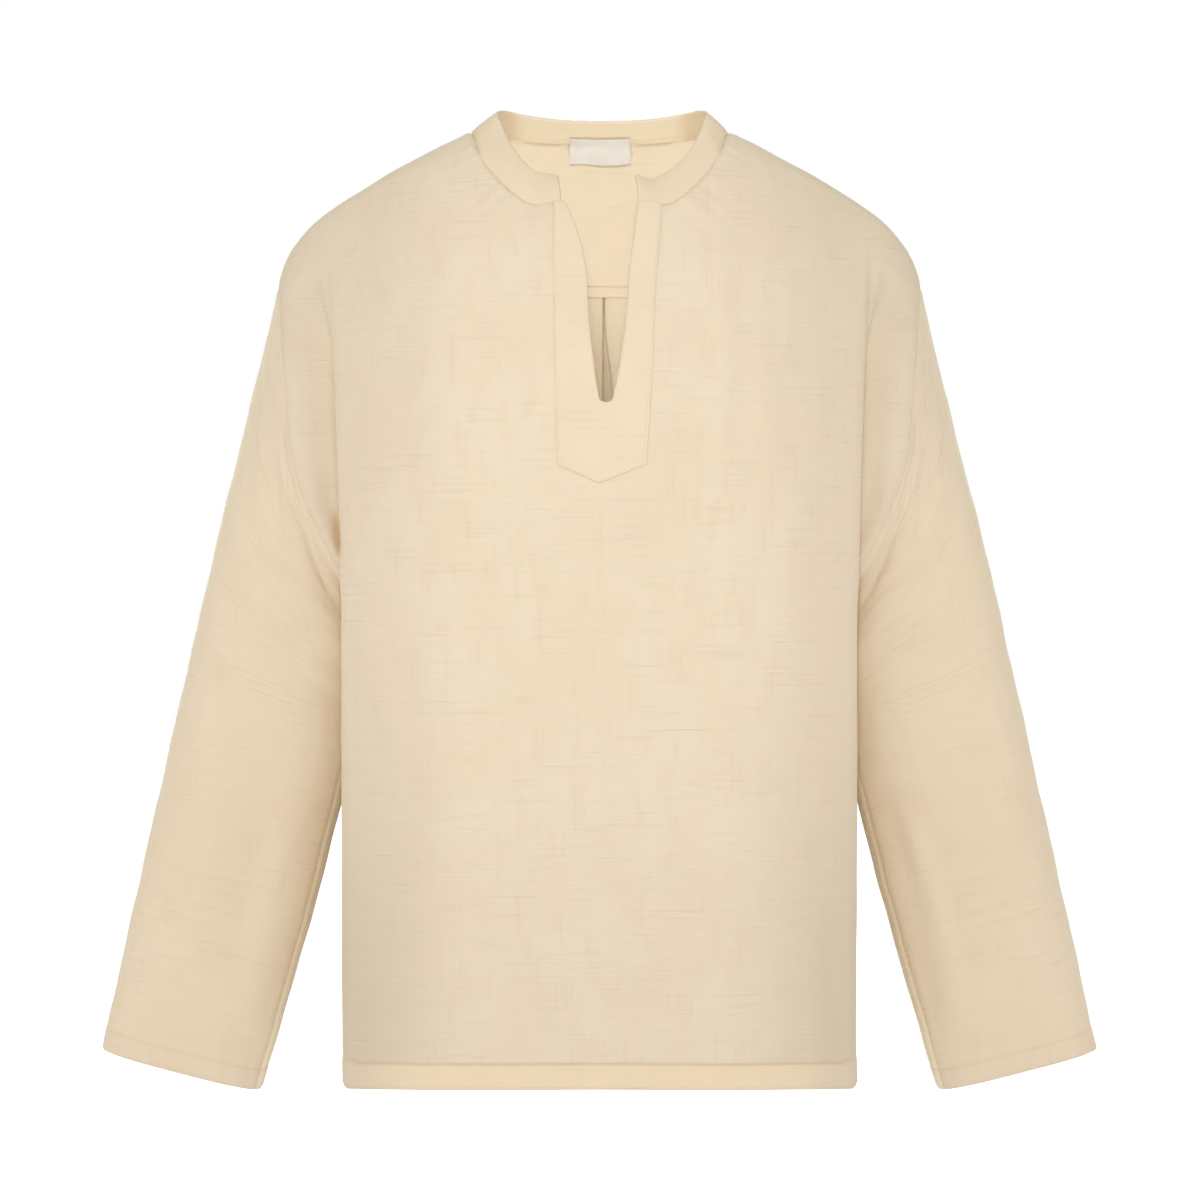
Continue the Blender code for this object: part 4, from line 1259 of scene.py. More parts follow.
def make_yoke(cloth):
    neck = neck_seam(np.linspace(0, SIDE_NECK, YOKE_NECK_COLUMNS + 1)[:-1])
    shoulder = front_row(0.0, "left")[:BODY_COLUMNS:2]
    top = np.vstack([neck, shoulder])
    half = np.array([yoke_row(share, top) for share in np.linspace(0, 1, YOKE_ROWS)])
    grid = np.concatenate([mirrored(half[:, :0:-1], -1), half], axis=1)
    lines = seam_lines()
    relief = drift(grid[..., 0], grid[..., 2] + 0.05, DRIFTS["yoke"])
    relief += both_sides(grid, lines["neck"], pucker=0.0003, wavelength=0.015, reach=0.008, phase=0.9)
    relief += both_sides(grid, lines["shoulder"], **SHOULDER_PUCKER, allowance=False)
    relief += both_sides(grid, lines["back armhole"], **ARMHOLE_PUCKER, phase=2.1, allowance=False)
    relief += seam(grid, grid[-1], allowance=False)
    uv = grain(grid, "back")
    out = facing_out(grid, -1)
    grid = grid + out * relief[..., None] + under_collar(grid)
    shadow = YOKE_SHADOW * bell(from_either(grid, lines["neck"]), YOKE_SHADOW_REACH)
    piece = shell("yoke_panel", grid, uv, cloth.wall, -1, shaded=shadow)
    dressed(piece, "body gauze", "back_yoke")
    tape = make_yoke_band(cloth, grid, out)
    above = grid[-2] + out[-2] * cloth.wall / 2
    stitches = sew("yoke_stitches", [(above, out[-2])])


def make_yoke_band(cloth, grid, out):
    """The felled seam inside the yoke's lower edge: a narrow flat band that covers both raw edges."""
    line = grid[-1]
    offsets, sunk = FELLED["offset"], FELLED["sunk"] + cloth.wall / 2
    down = np.array((0.0, 0.0, -1.0))
    band = np.array([line + down * offset - out[-1] * depth for offset, depth in zip(offsets, sunk)])
    uv = np.stack([band[..., 0], np.broadcast_to(offsets[:, None], band.shape[:2])], axis=-1)
    keep = abs(band[0, :, 0]) < FELLED_HALF_WIDTH
    piece = shell("yoke_seam_band", band[:, keep], uv[:, keep], cloth.wall * FELLED_THICKNESS, -1)
    return dressed(piece, "pressed gauze")


# The sleeves: where folds placed on one side fade, and along the rings where they start
FACES_THERE = (-0.05, 0.40)
SLEEVE_CALM_RINGS = (0.02, 0.25)
# The underarm seam: how far it wanders forward, in radians, the painted shade along it, and the painted light
# on the edge beyond it
UNDERARM_FORWARD = 0.47
UNDERARM_RINGS = (0.2, 1.4)
UNDERARM_PUCKER = {"pucker": 0.00025, "wavelength": 0.019}
UNDERARM_REACH = 0.02
UNDERARM_CREASE = 0.6
UNDERARM_CREASE_REACH = 0.0008
PAINTED_LIGHT_EDGE = 0.85
PAINTED_LIGHT_RINGS = (0.8, 1.6)
PAINTED_LIGHT_WIDTH = (0.004, 0.008)
PAINTED_LIGHT_COLUMNS = 4


def sleeve_steps():
    """Where the sleeve's rings stand: close together at the cuff's stitches."""
    band = CUFF_RING - CUFF_BAND * RINGS_PER_METRE
    top = list(np.linspace(0, 1, SLEEVE_TOP_RINGS)[1:-1])
    clear = CUFF_CLEAR * RINGS_PER_METRE
    tube = [ring for ring in np.linspace(1, CUFF_RING, SLEEVE_RINGS) if abs(ring - band) > clear]
    close = around(band, [offset * RINGS_PER_METRE for offset in BESIDE_STITCHES[:2]])
    return sorted(top + tube + close), band


def sleeve_relief(grid, side, angles):
    """The sleeve's folds: those of its front where it faces forward, and its fellow's behind."""
    other = "left" if side == "right" else "right"
    x, z = grid[..., 0], grid[..., 2]
    relief = folds(x, z, SLEEVE_FOLDS[side]) * smoothstep(*FACES_THERE, np.sin(angles))
    relief += folds(-x, z + FELLOW_DROP, SLEEVE_FOLDS[other]) * smoothstep(*FACES_THERE, -np.sin(angles))
    return relief + drift(z, 1.7 * x, DRIFTS["sleeve"])


def sleeve_grain(grid, angles):
    """Cloth coordinates of a sleeve: across round each ring, down along its outer edge."""
    across = np.linalg.norm(np.roll(grid, -1, axis=1) - grid, axis=2)
    around_ring = across.sum(axis=1, keepdims=True) * angles / (2 * np.pi)
    down = run_along(grid[:, 0])[:, None]
    return np.stack([around_ring, np.broadcast_to(-down, around_ring.shape)], axis=-1)


def underarm_seam(grid, rings):
    """The column that the underarm seam runs in at each ring, as it wanders forward, and the seam's line."""
    half = SLEEVE_COLUMNS // 2
    forward = UNDERARM_FORWARD * smoothstep(*UNDERARM_RINGS, rings)
    columns = half - forward / np.pi * half
    whole = columns.astype(int)
    part = (columns - whole)[:, None]
    ring = np.arange(len(rings))
    return columns, grid[ring, whole] * (1 - part) + grid[ring, whole + 1] * part


def make_sleeve(cloth, side):
    sign = -1 if side == "right" else 1
    steps, band_ring = sleeve_steps()
    rings = np.concatenate([[0], steps])
    grid = sleeve_form(steps)
    half = SLEEVE_COLUMNS // 2
    angles = np.broadcast_to(np.pi * np.arange(SLEEVE_COLUMNS) / half, grid.shape[:2])
    half_cuff = np.linalg.norm(grid[-1, 0] - grid[-1, half]) / 2
    from_end = half_cuff * (1 - abs(np.cos(angles)) ** SLEEVE_ROUNDNESS)
    run_up = np.linalg.norm(grid[:, 0] - grid[-1, 0], axis=1)[:, None]
    grid = grid - SLEEVE_DOWN * corner_lift(from_end, run_up, CUFF_CORNER_RADIUS)[..., None]
    uv = sleeve_grain(grid, angles)
    columns, underarm = underarm_seam(grid, rings)
    relief = sleeve_relief(mirrored(grid, sign), side, angles)
    relief *= smoothstep(*SLEEVE_CALM_RINGS, rings)[:, None]
    relief += seam(grid, underarm, **UNDERARM_PUCKER, phase=sign)
    from_seam = from_line(grid, underarm, UNDERARM_REACH)[0]
    places = np.arange(SLEEVE_COLUMNS)
    beyond = (places > columns[:, None]) & (places <= half + PAINTED_LIGHT_COLUMNS)
    low = smoothstep(*PAINTED_LIGHT_RINGS, rings)[:, None]
    # Painted light on the sleeve's edge beyond the underarm seam, and painted shade along the seam
    painted_light = PAINTED_LIGHT_EDGE * low * beyond * (1 - smoothstep(*PAINTED_LIGHT_WIDTH, from_seam))
    seam_shade = UNDERARM_CREASE * low * bell(from_seam, UNDERARM_CREASE_REACH)
    armhole_line, cuff = (np.vstack([grid[end], grid[end, :1]]) for end in (0, -1))
    relief += seam(grid, armhole_line, **ARMHOLE_PUCKER, phase=1.1) * upper_armhole(grid)
    thin = thinned(grid, armhole_line)
    hem, in_band, stitched = hem_form(grid, cuff, CUFF_BAND, CUFF_PUCKER, phase=1.8 + sign)
    relief += hem
    grid = mirrored(grid + facing_out(grid, -1, True) * relief[..., None], sign)
    thickness = cloth.wall * (1 + HEM_FULLNESS * in_band) * thin
    marks = {"crease_shade": np.maximum(stitched * CUFF_CREASE, seam_shade), "painted_light": painted_light}
    slot = f"sleeve_{side}_cloth"
    piece = shell(slot, grid, uv, thickness, -sign, closed=True, **marks)
    dressed(piece, "sleeve gauze", f"sleeve_{side}")
    out = facing_out(grid, -sign, True)
    row = int(np.abs(rings - band_ring).argmin())
    surface = grid[row] + out[row] * cloth.wall / 2
    loop, facing = (np.vstack([line, line[:1]]) for line in (surface, out[row]))
    stitches = sew(f"sleeve_{side}_stitches", [(loop, facing)])


# The collar's front end on the wearer's left turns outward: how its rim moves there
COLLAR_TWIST = table(
    "place x y z",
    (4.20, 0.0000, 0.0000, 0.0000),
    (5.00, 0.0010, 0.0000, -0.0004),
    (5.50, 0.0018, 0.0000, -0.0010),
    (6.00, 0.0022, 0.0000, -0.0018),
    (6.30, 0.0022, 0.0000, -0.0024),
    (6.60, 0.0018, 0.0000, -0.0018),
    (6.90, 0.0010, 0.0006, -0.0012),
    (7.20, 0.0000, 0.0015, -0.0023),
    (7.35, -0.0002, 0.0020, -0.0030),
    (7.50, -0.0005, 0.0022, -0.0044),
    (7.72, -0.0020, 0.0005, -0.0028),
    (7.85, -0.0035, -0.0010, -0.0010),
    (8.00, -0.0055, -0.0020, 0.0011),
)


# Rows of the collar from its seam to its rim, and how far above the seam it starts
COLLAR_SHARES = (0.0, 0.03, 0.08, 0.16, 0.26, 0.38, 0.5, 0.62, 0.74, 0.85, 0.93, 1.0)
COLLAR_GAP = 0.0002
# How far the rim leans toward the wearer's left, up to these places of the neck
COLLAR_LEAN = 0.0018
COLLAR_LEAN_ENDS = (4.5, 6.5)
# The front end on the wearer's left: where it begins, how it bows, and how its tip moves
COLLAR_END = (7.5, 8.0)
COLLAR_END_BOW = 0.0012
COLLAR_END_TIP = 0.0012
COLLAR_END_DROP = 0.0008
# How the band bows outward, less where it turns its sides, is a little hollow behind, and is uneven
COLLAR_BOW = 0.0012
COLLAR_FLATTER = 0.8
COLLAR_CORNER = (0.062, 0.080)
COLLAR_BACK_HOLLOW = 0.0004
COLLAR_BACK_Y = 0.03
COLLAR_WAVE = 0.00035
COLLAR_CRINKLE = 0.00018
# The inner face's shade: at its sides, and where its inner edge is sewn down above the seam
COLLAR_SHADE = 0.40
COLLAR_SIDES = (0.056, 0.074)
COLLAR_FELL = 0.0036
COLLAR_FELL_SHADE = 0.35
COLLAR_FELL_REACH = 0.0007


def make_collar(cloth):
    places = np.linspace(0, NECK_FRONT, COLLAR_COLUMNS)
    seam_line, rim = neck_seam(places), collar_rim(places)
    twist = points(*(read(COLLAR_TWIST, name, places, flat_ends=True) for name in ("x", "y", "z")))
    seam_line = np.vstack([mirrored(seam_line[:0:-1], -1), seam_line])
    lean = points(COLLAR_LEAN * (1 - smoothstep(*COLLAR_LEAN_ENDS, places)), 0.0, 0.0)
    rim = np.vstack([mirrored(rim[:0:-1], -1) + lean[:0:-1], rim + twist + lean])
    shares = np.array(COLLAR_SHARES)
    height = np.linalg.norm(rim - seam_line, axis=1)
    start = COLLAR_GAP / height[:, None]
    grid = np.array([seam_line + (rim - seam_line) * (start + (1 - start) * share) for share in shares])
    along = np.broadcast_to(run_along(grid[6]), grid.shape[:2])
    shares = shares[:, None]
    uv = np.stack([along, shares * height], axis=-1)
    bow = np.sin(np.pi * shares)
    left_end = np.concatenate([np.zeros(len(places) - 1), smoothstep(*COLLAR_END, places)])
    grid[..., 0] += left_end * (COLLAR_END_BOW * bow + COLLAR_END_TIP * shares**12)
    grid[..., 2] -= left_end**4 * COLLAR_END_DROP * shares**6
    flatter = 1 - COLLAR_FLATTER * smoothstep(*COLLAR_CORNER, abs(grid[..., 0]))
    relief = COLLAR_BOW * bow * flatter + COLLAR_WAVE * ripple(along, wavelength=0.047, phase=0.6) * bow
    relief += COLLAR_CRINKLE * ripple(along + 0.4 * grid[..., 2], wavelength=0.021, phase=2.6) * bow
    relief -= COLLAR_BACK_HOLLOW * (grid[..., 1] > COLLAR_BACK_Y) * bow
    grid = grid + facing_out(grid, 1) * relief[..., None]
    # Thin where it is sewn in, full in the middle, and pressed flatter along the rim
    full = 0.45 + 0.55 * smoothstep(0, 0.2, shares) - 0.25 * smoothstep(0.8, 1, shares)
    at_sides = COLLAR_SHADE * smoothstep(*COLLAR_SIDES, abs(grid[..., 0]))
    turned_in = COLLAR_FELL_SHADE * bell(shares * height - COLLAR_FELL, COLLAR_FELL_REACH)
    shaded = np.maximum(at_sides, turned_in)
    piece = shell("collar", grid, uv, cloth.collar_wall * full, 1, shaded=shaded)
    dressed(piece, "pressed gauze", "collar_band")


# The facing: its gap, crease and sewn edge, how far it runs on below the slit, its turned edge round the
# slit, and its rows, which come level so far out from the slit
FACING_GAP = 0.0002
FACING_THICKNESS = 0.9
FACING_CREASE = 0.0003
FACING_EDGE = 0.955
FACING_EDGE_REACH = 0.02
FACING_EDGE_SINK = 0.00018
FACING_BELOW_FOOT = 0.0035
FACING_TOP_REACH = 0.006
EDGE_BEAD = 0.0009
EDGE_TURNS = np.radians((90, 60, 30, 0, -30, -60, -90))
EDGE_INSETS = (0.002, 0.004, 0.0065)
EDGE_WIDTH = 0.012
FACING_LEVEL = 0.35
FACING_ROWS = 44
FACING_LOW_ROWS = 18
FACING_LOW_EDGE = 0.972
FACING_COLUMNS = (0.0, 0.03, 0.08, 0.18, 0.30, 0.42, 0.54, 0.66, 0.78, 0.88, 0.94, 0.97, 1.0)


def facing_half(half):
    """Half the slit's facing, laid over the front at +X from the slit's edge to its own outer edge.

    Its x and z, and the last row that lies beside the slit.
    """
    rows = []
    shares = np.array(FACING_COLUMNS)
    top = -NECK_BESIDE_SLIT[1][0]
    straight = top + (FOOT_TOP - top) * np.linspace(0, 1, FACING_ROWS)
    foot = FOOT_TOP + FOOT_RADIUS * np.sin(FOOT_TURNS[1:])
    even = straight[-1] + (FOOT_RADIUS + FACING_BELOW_FOOT) * np.arange(1, len(foot) + 1) / len(foot)
    for depth, level in zip(np.concatenate([straight, foot]), np.concatenate([straight, even])):
        inner = round_foot(read(SLIT, half, depth) + EDGE_BEAD, depth, half)
        x = inner + (read(PLACKET_EDGE, half, depth) - inner) * shares
        z = -depth - (level - depth) * smoothstep(0, FACING_LEVEL, shares)
        neck_z = np.interp(x, *NECK_BESIDE_SLIT) - PLACKET_TOP_INSET
        rows.append((x, z + (neck_z + depth) * np.exp(-(depth - top) / FACING_TOP_REACH)))
    slit_x, slit_z = rows[-1]
    outer = read(PLACKET_EDGE, half, -PLACKET_CORNER_Z)
    low_z = PLACKET_POINT_Z + (PLACKET_CORNER_Z - PLACKET_POINT_Z) * shares
    for share in (*np.linspace(0, 1, FACING_LOW_ROWS)[1:-1], FACING_LOW_EDGE, 1.0):
        inner = slit_x[0] * (1 - smoothstep(0, 1, share))
        x = inner + (slit_x[-1] + (outer - slit_x[-1]) * share - inner) * shares
        rows.append((x, slit_z + (low_z - slit_z) * share))
    x, z = (np.array([row[k] for row in rows]) for k in (0, 1))
    return x, z, len(straight) + len(foot) - 1


def make_facing(cloth):
    height = cloth.wall + FACING_GAP
    wall = cloth.wall * FACING_THICKNESS
    halves = []
    for half in ("right", "left"):
        x, z, last = facing_half(half)
        outer = np.broadcast_to(FACING_COLUMNS, x.shape)
        lift = FACING_CREASE * np.sin(np.pi * outer) * ripple(-z + 0.3 * x, wavelength=0.031, phase=0.7)
        lift -= FACING_EDGE_SINK * bell(outer - FACING_EDGE, FACING_EDGE_REACH)
        halves.append((x, z, lift) if half == "left" else (-x[:, ::-1], z[:, ::-1], lift[:, ::-1]))
    x, z, lift = (np.concatenate(parts, axis=1) for parts in zip(*halves))
    grid = laid_on_front(x, z, height + lift)
    uv = np.stack([x, z], axis=-1)
    middle = len(FACING_COLUMNS)
    piece = shell("slit_facing", grid, uv, wall, 1, welded=(last, middle))
    dressed(piece, "pressed gauze", "placket_facing")
    binding = make_slit_edge(wall, grid[: last + 1, middle - 1], grid[: last + 1, middle], height)
    out = chest_normal(x, z)
    surface = grid + out * wall / 2
    path, facing = (np.vstack([side[:-1, 2], side[-2, 3:-3], side[:-1, -3][::-1]]) for side in (surface, out))
    stitches = sew("facing_stitches", [(path, facing)])


def make_slit_edge(wall, right, left, height):
    """The facing's turned edge: it goes round the slit's raw edge and lies a little way inside."""
    line = np.vstack([right, left[::-1][1:]])
    out = chest_normal(line[:, 0], line[:, 2])
    line = line - out * height
    into_cloth = unit(np.cross(unit(np.gradient(line, axis=0)), out))
    rows = [line + out * height * np.sin(turn) - into_cloth * height * np.cos(turn) for turn in EDGE_TURNS]
    rows += [line - out * height + into_cloth * inset for inset in EDGE_INSETS]
    grid = np.array(rows)
    width = np.linspace(0, EDGE_WIDTH, len(rows))[:, None]
    uv = np.stack([np.broadcast_to(part, grid.shape[:2]) for part in (width, run_along(line))], axis=-1)
    piece = shell("slit_edge", grid, uv, wall, -1)
    return dressed(piece, "pressed gauze")


# The label: its ends as places of the neck, and how its front swings, kicks out and folds at the bottom
LABEL_ENDS = (-0.47, 0.49)
LABEL_COLUMNS = 25
LABEL_TOP_ROWS = 4
LABEL_FRONT_ROWS = 14
LABEL_BACK_ROWS = 8
LABEL_WALL = 0.00045
LABEL_GAP = 0.0007
LABEL_SWING = 0.0009
LABEL_KICK = 0.0024
LABEL_FOLD = 0.0006
LABEL_STITCH_LIFT = 0.0003


def make_label(cloth):
    """A folded woven label: its front falls from the collar's seam, turns at the bottom and goes back up."""
    across = np.linspace(*LABEL_ENDS, LABEL_COLUMNS)
    side = np.sign(across)[:, None] * np.array((1.0, 0.0, 0.0)) + np.array((0.0, 1.0, 1.0))
    side[across == 0] = 1.0
    top = neck_seam(abs(across)) * side
    rim = collar_rim(abs(across)) * side
    up = unit((rim - top) * np.array((0.0, 1.0, 1.0)))
    inward = LABEL_INWARD * (cloth.collar_wall + cloth.wall) / 2 + LABEL_INWARD * LABEL_GAP
    above = np.linspace(0, 1, LABEL_TOP_ROWS + 1)[:-1]
    rows = [top + up * LABEL_RISE * (1 - share) + inward for share in above]
    swing = LABEL_SWING * np.sin(2.2 * np.pi * across + 0.5)[:, None] * LABEL_INWARD
    for share in np.linspace(0, 1, LABEL_FRONT_ROWS):
        hung = top + LABEL_DOWN * LABEL_DROP * share + inward
        off = LABEL_SWING * np.sin(np.pi * share * 0.8) + LABEL_KICK * share**2
        rows.append(hung + swing * share**2 + LABEL_INWARD * off)
    low = rows[-1]
    for turn in np.radians((45, 90, 135, 180)):
        back = LABEL_INWARD * LABEL_FOLD * (1 - np.cos(turn))
        rows.append(low - back + LABEL_DOWN * LABEL_FOLD * np.sin(turn))
    behind = rows[-1] - low
    for share in np.linspace(1, 0, LABEL_BACK_ROWS)[1:]:
        before = rows[LABEL_TOP_ROWS + int(round((LABEL_FRONT_ROWS - 1) * share))]
        rows.append(before + behind)
    grid = np.array(rows)
    down = -run_along(grid[:, LABEL_COLUMNS // 2])[:, None]
    uv = np.stack([np.broadcast_to(part, grid.shape[:2]) for part in (grid[8, :, 0], down)], axis=-1)
    piece = shell("label", grid, uv, LABEL_WALL, 1)
    dressed(piece, "woven label", "neck_label")
    sewn = grid[: LABEL_TOP_ROWS + 1] + LABEL_INWARD * LABEL_STITCH_LIFT
    out = np.broadcast_to(LABEL_INWARD, sewn[:, 0].shape)
    ends = [(sewn[:, column], out) for column in (1, -2)]
    stitches = sew("label_stitches", ends, length=0.0018, gap=0.0009, radius=0.00016)


# Finishes

# Painted light: the inner face is painted lighter, for the glow that comes through the cloth and bounces
# inside
PAINTED_INNER_LIGHT = (1.16, 1.20, 1.24)
# The hem band's warmer tone is the doubled cloth's own; the darker tone is painted shade in creases, seams
# and recesses
MARKS = {"band": (1.010, 0.985, 0.930), "crease_shade": (0.70, 0.55, 0.37)}
# Painted sheen: how much lighter the cloth is painted where it turns away from view
PAINTED_EDGE_SHEEN = (1.32, 1.32, 1.32)
# Painted shade: the tone that the body darkens to at its sides and low down
SIDE_SHADE_TONE = (0.80, 0.80, 0.80)
WORN = (0.88, 0.88, 0.88)
SHEEN_TINT = (1.0, 0.90, 0.74, 1.0)
# Where the body's painted shade falls: across toward its side seams, and down its length
SIDE_SHADE_SPAN = (0.09, 0.20)
LOW_SHADE_SPAN = (-0.72, -0.40)
# Factors on the cloth's colours: where it is rosier; where its crinkles are creased, painted shade, a tone
# the warp streaks take too; and where it is raised, partly the slubs' own lighter tone and partly a painted
# highlight
ROSE = (1.0, 0.972, 0.978)
CREASED = (0.84, 0.80, 0.73)
RAISED = (1.05, 1.06, 1.08)
PRESSED_CREASED = (0.90, 0.86, 0.80)
WARMER_TAPE = (0.93, 0.90, 0.84)
# The tape's rib and selvage, and the bump of tape and thread
RIB = 0.0007
SELVAGE = (0.0222, 0.0232)
FINE_BUMP = 0.0001
# Threads: changes a metre across and down, detail, shift and warp
GAUZE_THREADS = (
    (11, 150, 3.0, 0.0, 0.2),  # slow crinkles
    (13, 420, 1.5, 1.7, 0.0),  # raised weft
    (15, 380, 1.5, 3.1, 0.0),  # sunk weft
    (420, 16, 1.5, 5.3, 0.0),  # warp
    (16, 11, 3.0, 7.7, 0.0),  # clouds
    (70, 24, 3.0, 4.6, 0.0),  # rosy mottling
    (24, 30, 2.0, 9.2, 0.0),  # patches
    (1300, 1300, 1.0, 2.2, 0.0),  # weave
)
PRESSED_THREADS = (
    (22, 330, 2.0, 0.0, 0.0),  # weft
    (330, 30, 2.0, 4.4, 0.0),  # warp
    (22, 20, 3.0, 8.1, 0.0),  # clouds
    (1300, 1300, 1.0, 1.2, 0.0),  # weave
)


class Signal:
    """A shader output. Arithmetic on it adds Math nodes, and node() adds any other node to its tree."""

    def __init__(self, tree, output=None):
        self.tree = tree
        self.output = output

    def node(self, kind, settings, inputs, output=0):
        made = self.tree.nodes.new(kind)
        for name, value in settings.items():
            setattr(made, name, value)
        for name, value in inputs.items():
            if isinstance(value, Signal):
                self.tree.links.new(value.output, made.inputs[name])
            else:
                made.inputs[name].default_value = value
        return Signal(self.tree, made.outputs[output] if made.outputs else None)

    def sibling(self, output):
        """Another output of the same node."""
        return Signal(self.tree, self.output.node.outputs[output])

    def math(self, operation, first, second):
        return self.node("ShaderNodeMath", {"operation": operation}, {0: first, 1: second})

    def __add__(self, other):
        return self.math("ADD", self, other)

    def __radd__(self, other):
        return self.math("ADD", other, self)

    def __sub__(self, other):
        return self.math("SUBTRACT", self, other)

    def __rsub__(self, other):
        return self.math("SUBTRACT", other, self)

    def __mul__(self, other):
        return self.math("MULTIPLY", self, other)

    def __rmul__(self, other):
        return self.math("MULTIPLY", other, self)

    def __abs__(self):
        return self.math("ABSOLUTE", self, 0.0)

    def between(self, low, high, start=0.0, end=1.0):
        """A soft step from start to end while this goes from low to high."""
        inputs = {"Value": self, "From Min": low, "From Max": high, "To Min": start, "To Max": end}
        return self.node("ShaderNodeMapRange", {"interpolation_type": "SMOOTHSTEP"}, inputs)


def emptied(owner):
    """The owner's node tree with nothing in it, to add nodes to."""
    owner.use_nodes = True
    owner.node_tree.nodes.clear()
    return Signal(owner.node_tree)


def cloth_place(name):
    """A new material's place on the cloth, from the piece's own UV map."""
    return emptied(bpy.data.materials.new(name)).node("ShaderNodeUVMap", {"uv_map": "cloth"}, {})


def threads(place, across, down, detail=2.0, shift=0.0, warp=0.0):
    """Noise drawn out along the threads: so many changes a metre across and down the cloth."""
    spot = {"Vector": place, "Location": (shift, shift * 0.7, 0.0), "Scale": (across, down, 1.0)}
    laid = place.node("ShaderNodeMapping", {}, spot)
    inputs = {"Vector": laid, "Scale": 1.0, "Detail": detail, "Roughness": 0.5, "Distortion": warp}
    return laid.node("ShaderNodeTexNoise", {"noise_dimensions": "2D"}, inputs)


def noises(place, rows, seed):
    """The noises of a table of threads, all shifted by the seed."""
    return [
        threads(place, across, down, detail, seed + shift, warp)
        for across, down, detail, shift, warp in rows
    ]


def tinted(colour, factors):
    return tuple(min(1.0, part * factor) for part, factor in zip(colour, factors))


def opaque(colour):
    return (*colour, 1.0)


def blended(factor, first, second):
    """A colour mixed from two, each a colour or a signal."""
    first, second = (part if isinstance(part, Signal) else opaque(part) for part in (first, second))
    inputs = {"Factor": factor, 6: first, 7: second}
    return factor.node("ShaderNodeMix", {"data_type": "RGBA"}, inputs, output=2)


def close_material(place, colour, roughness, height, bump, sheen):
    raised = place.node("ShaderNodeBump", {}, {"Strength": 1.0, "Distance": bump, "Height": height})
    inputs = {
        "Base Color": colour,
        "Roughness": roughness,
        "Normal": raised,
        "Sheen Weight": sheen,
        "Sheen Roughness": 0.45,
        "Sheen Tint": SHEEN_TINT,
        "Specular IOR Level": 0.2,
    }
    surface = place.node("ShaderNodeBsdfPrincipled", {}, inputs)
    place.node("ShaderNodeOutputMaterial", {}, {"Surface": surface})


def gauze(name, colour, shade, crinkle, slubs, bump, seed, sheen, side_shade=None, edge_sheen=0.0):
    """Double gauze: long shallow crinkles along the weft, slubs in both threads, a loose weave, mottled."""
    place = cloth_place(name)
    slow, weft, sunk_weft, warp, cloudy, rosy, patchy, weave = noises(place, GAUZE_THREADS, seed)
    raised = weft.between(0.60, 0.72) * patchy.between(0.40, 0.60, 0.25, 1.0)
    creased = sunk_weft.between(0.60, 0.72) * patchy.between(0.36, 0.56, 0.3, 1.0)
    streaked = warp.between(0.58, 0.70) * rosy.between(0.45, 0.62, 0.1, 1.0)
    base = blended(cloudy.between(0.30, 0.70), colour, shade)
    base = blended(rosy.between(0.50, 0.68) * 0.5, base, tinted(shade, ROSE))
    base = blended(creased * crinkle + streaked * (crinkle * 0.8), base, tinted(shade, CREASED))
    base = blended(raised * slubs, base, tinted(colour, RAISED))
    height = (slow * 0.8 + warp * 0.25 + weft * 0.2) - creased * 0.35 - streaked * 0.3
    height = height + raised * 0.45 + weave * 0.12
    roughness = 0.86 + creased * 0.08 - raised * 0.05
    # Painted shade: the body darker toward its side seams and low down
    if side_shade:
        base = blended(painted_side_shade(place), base, side_shade)
    base = with_marks(base, colour, shade)
    # Painted sheen: lighter where the cloth turns away from view
    if edge_sheen:
        turned_away = place.node("ShaderNodeLayerWeight", {}, {"Blend": 0.4}, output=1)
        base = blended(turned_away * turned_away * edge_sheen, base, tinted(colour, PAINTED_EDGE_SHEEN))
    close_material(place, base, roughness, height, bump, sheen)


def painted_side_shade(place):
    """Painted shade on the body: how far its colour darkens toward the side seams, more so low down, and a
    little low down all across.
    """
    across = place.node("ShaderNodeSeparateXYZ", {}, {"Vector": place})
    down = across.sibling("Y")
    side = abs(across).between(*SIDE_SHADE_SPAN)
    return side * down.between(*LOW_SHADE_SPAN, 0.85, 0.40) + down.between(*LOW_SHADE_SPAN, 0.22, 0.0)


def with_marks(base, colour, shade):
    """The inner face is painted lighter, painted light for the glow through the cloth, and so is a sleeve's
    edge beyond its underarm seam; cloth doubled in a hem is warmer; seams, pleats and folds get painted shade
    in their creases.
    """
    tones = {name: tinted(shade, lifts) for name, lifts in MARKS.items()}
    for name, tone in ({"inner": tinted(colour, PAINTED_INNER_LIGHT)} | tones).items():
        mark = base.node("ShaderNodeAttribute", {"attribute_name": name}, {}, output=2)
        base = blended(mark, base, tone)
    return base


def pressed(name, colour, shade, bump, seed):
    """The same gauze doubled and pressed: smoother, with short flat crinkles and the weave showing."""
    place = cloth_place(name)
    weft, warp, cloudy, weave = noises(place, PRESSED_THREADS, seed)
    creased = weft.between(0.58, 0.70) * cloudy.between(0.4, 0.6, 0.3, 1.0)
    base = blended(cloudy.between(0.3, 0.7), colour, shade)
    base = blended(creased * 0.25, base, tinted(shade, PRESSED_CREASED))
    height = (weft * 0.4 + warp * 0.25) - creased * 0.3 + weave * 0.15
    base = with_marks(base, colour, shade)
    close_material(place, base, 0.84 + creased * 0.06, height, bump, sheen=0.10)


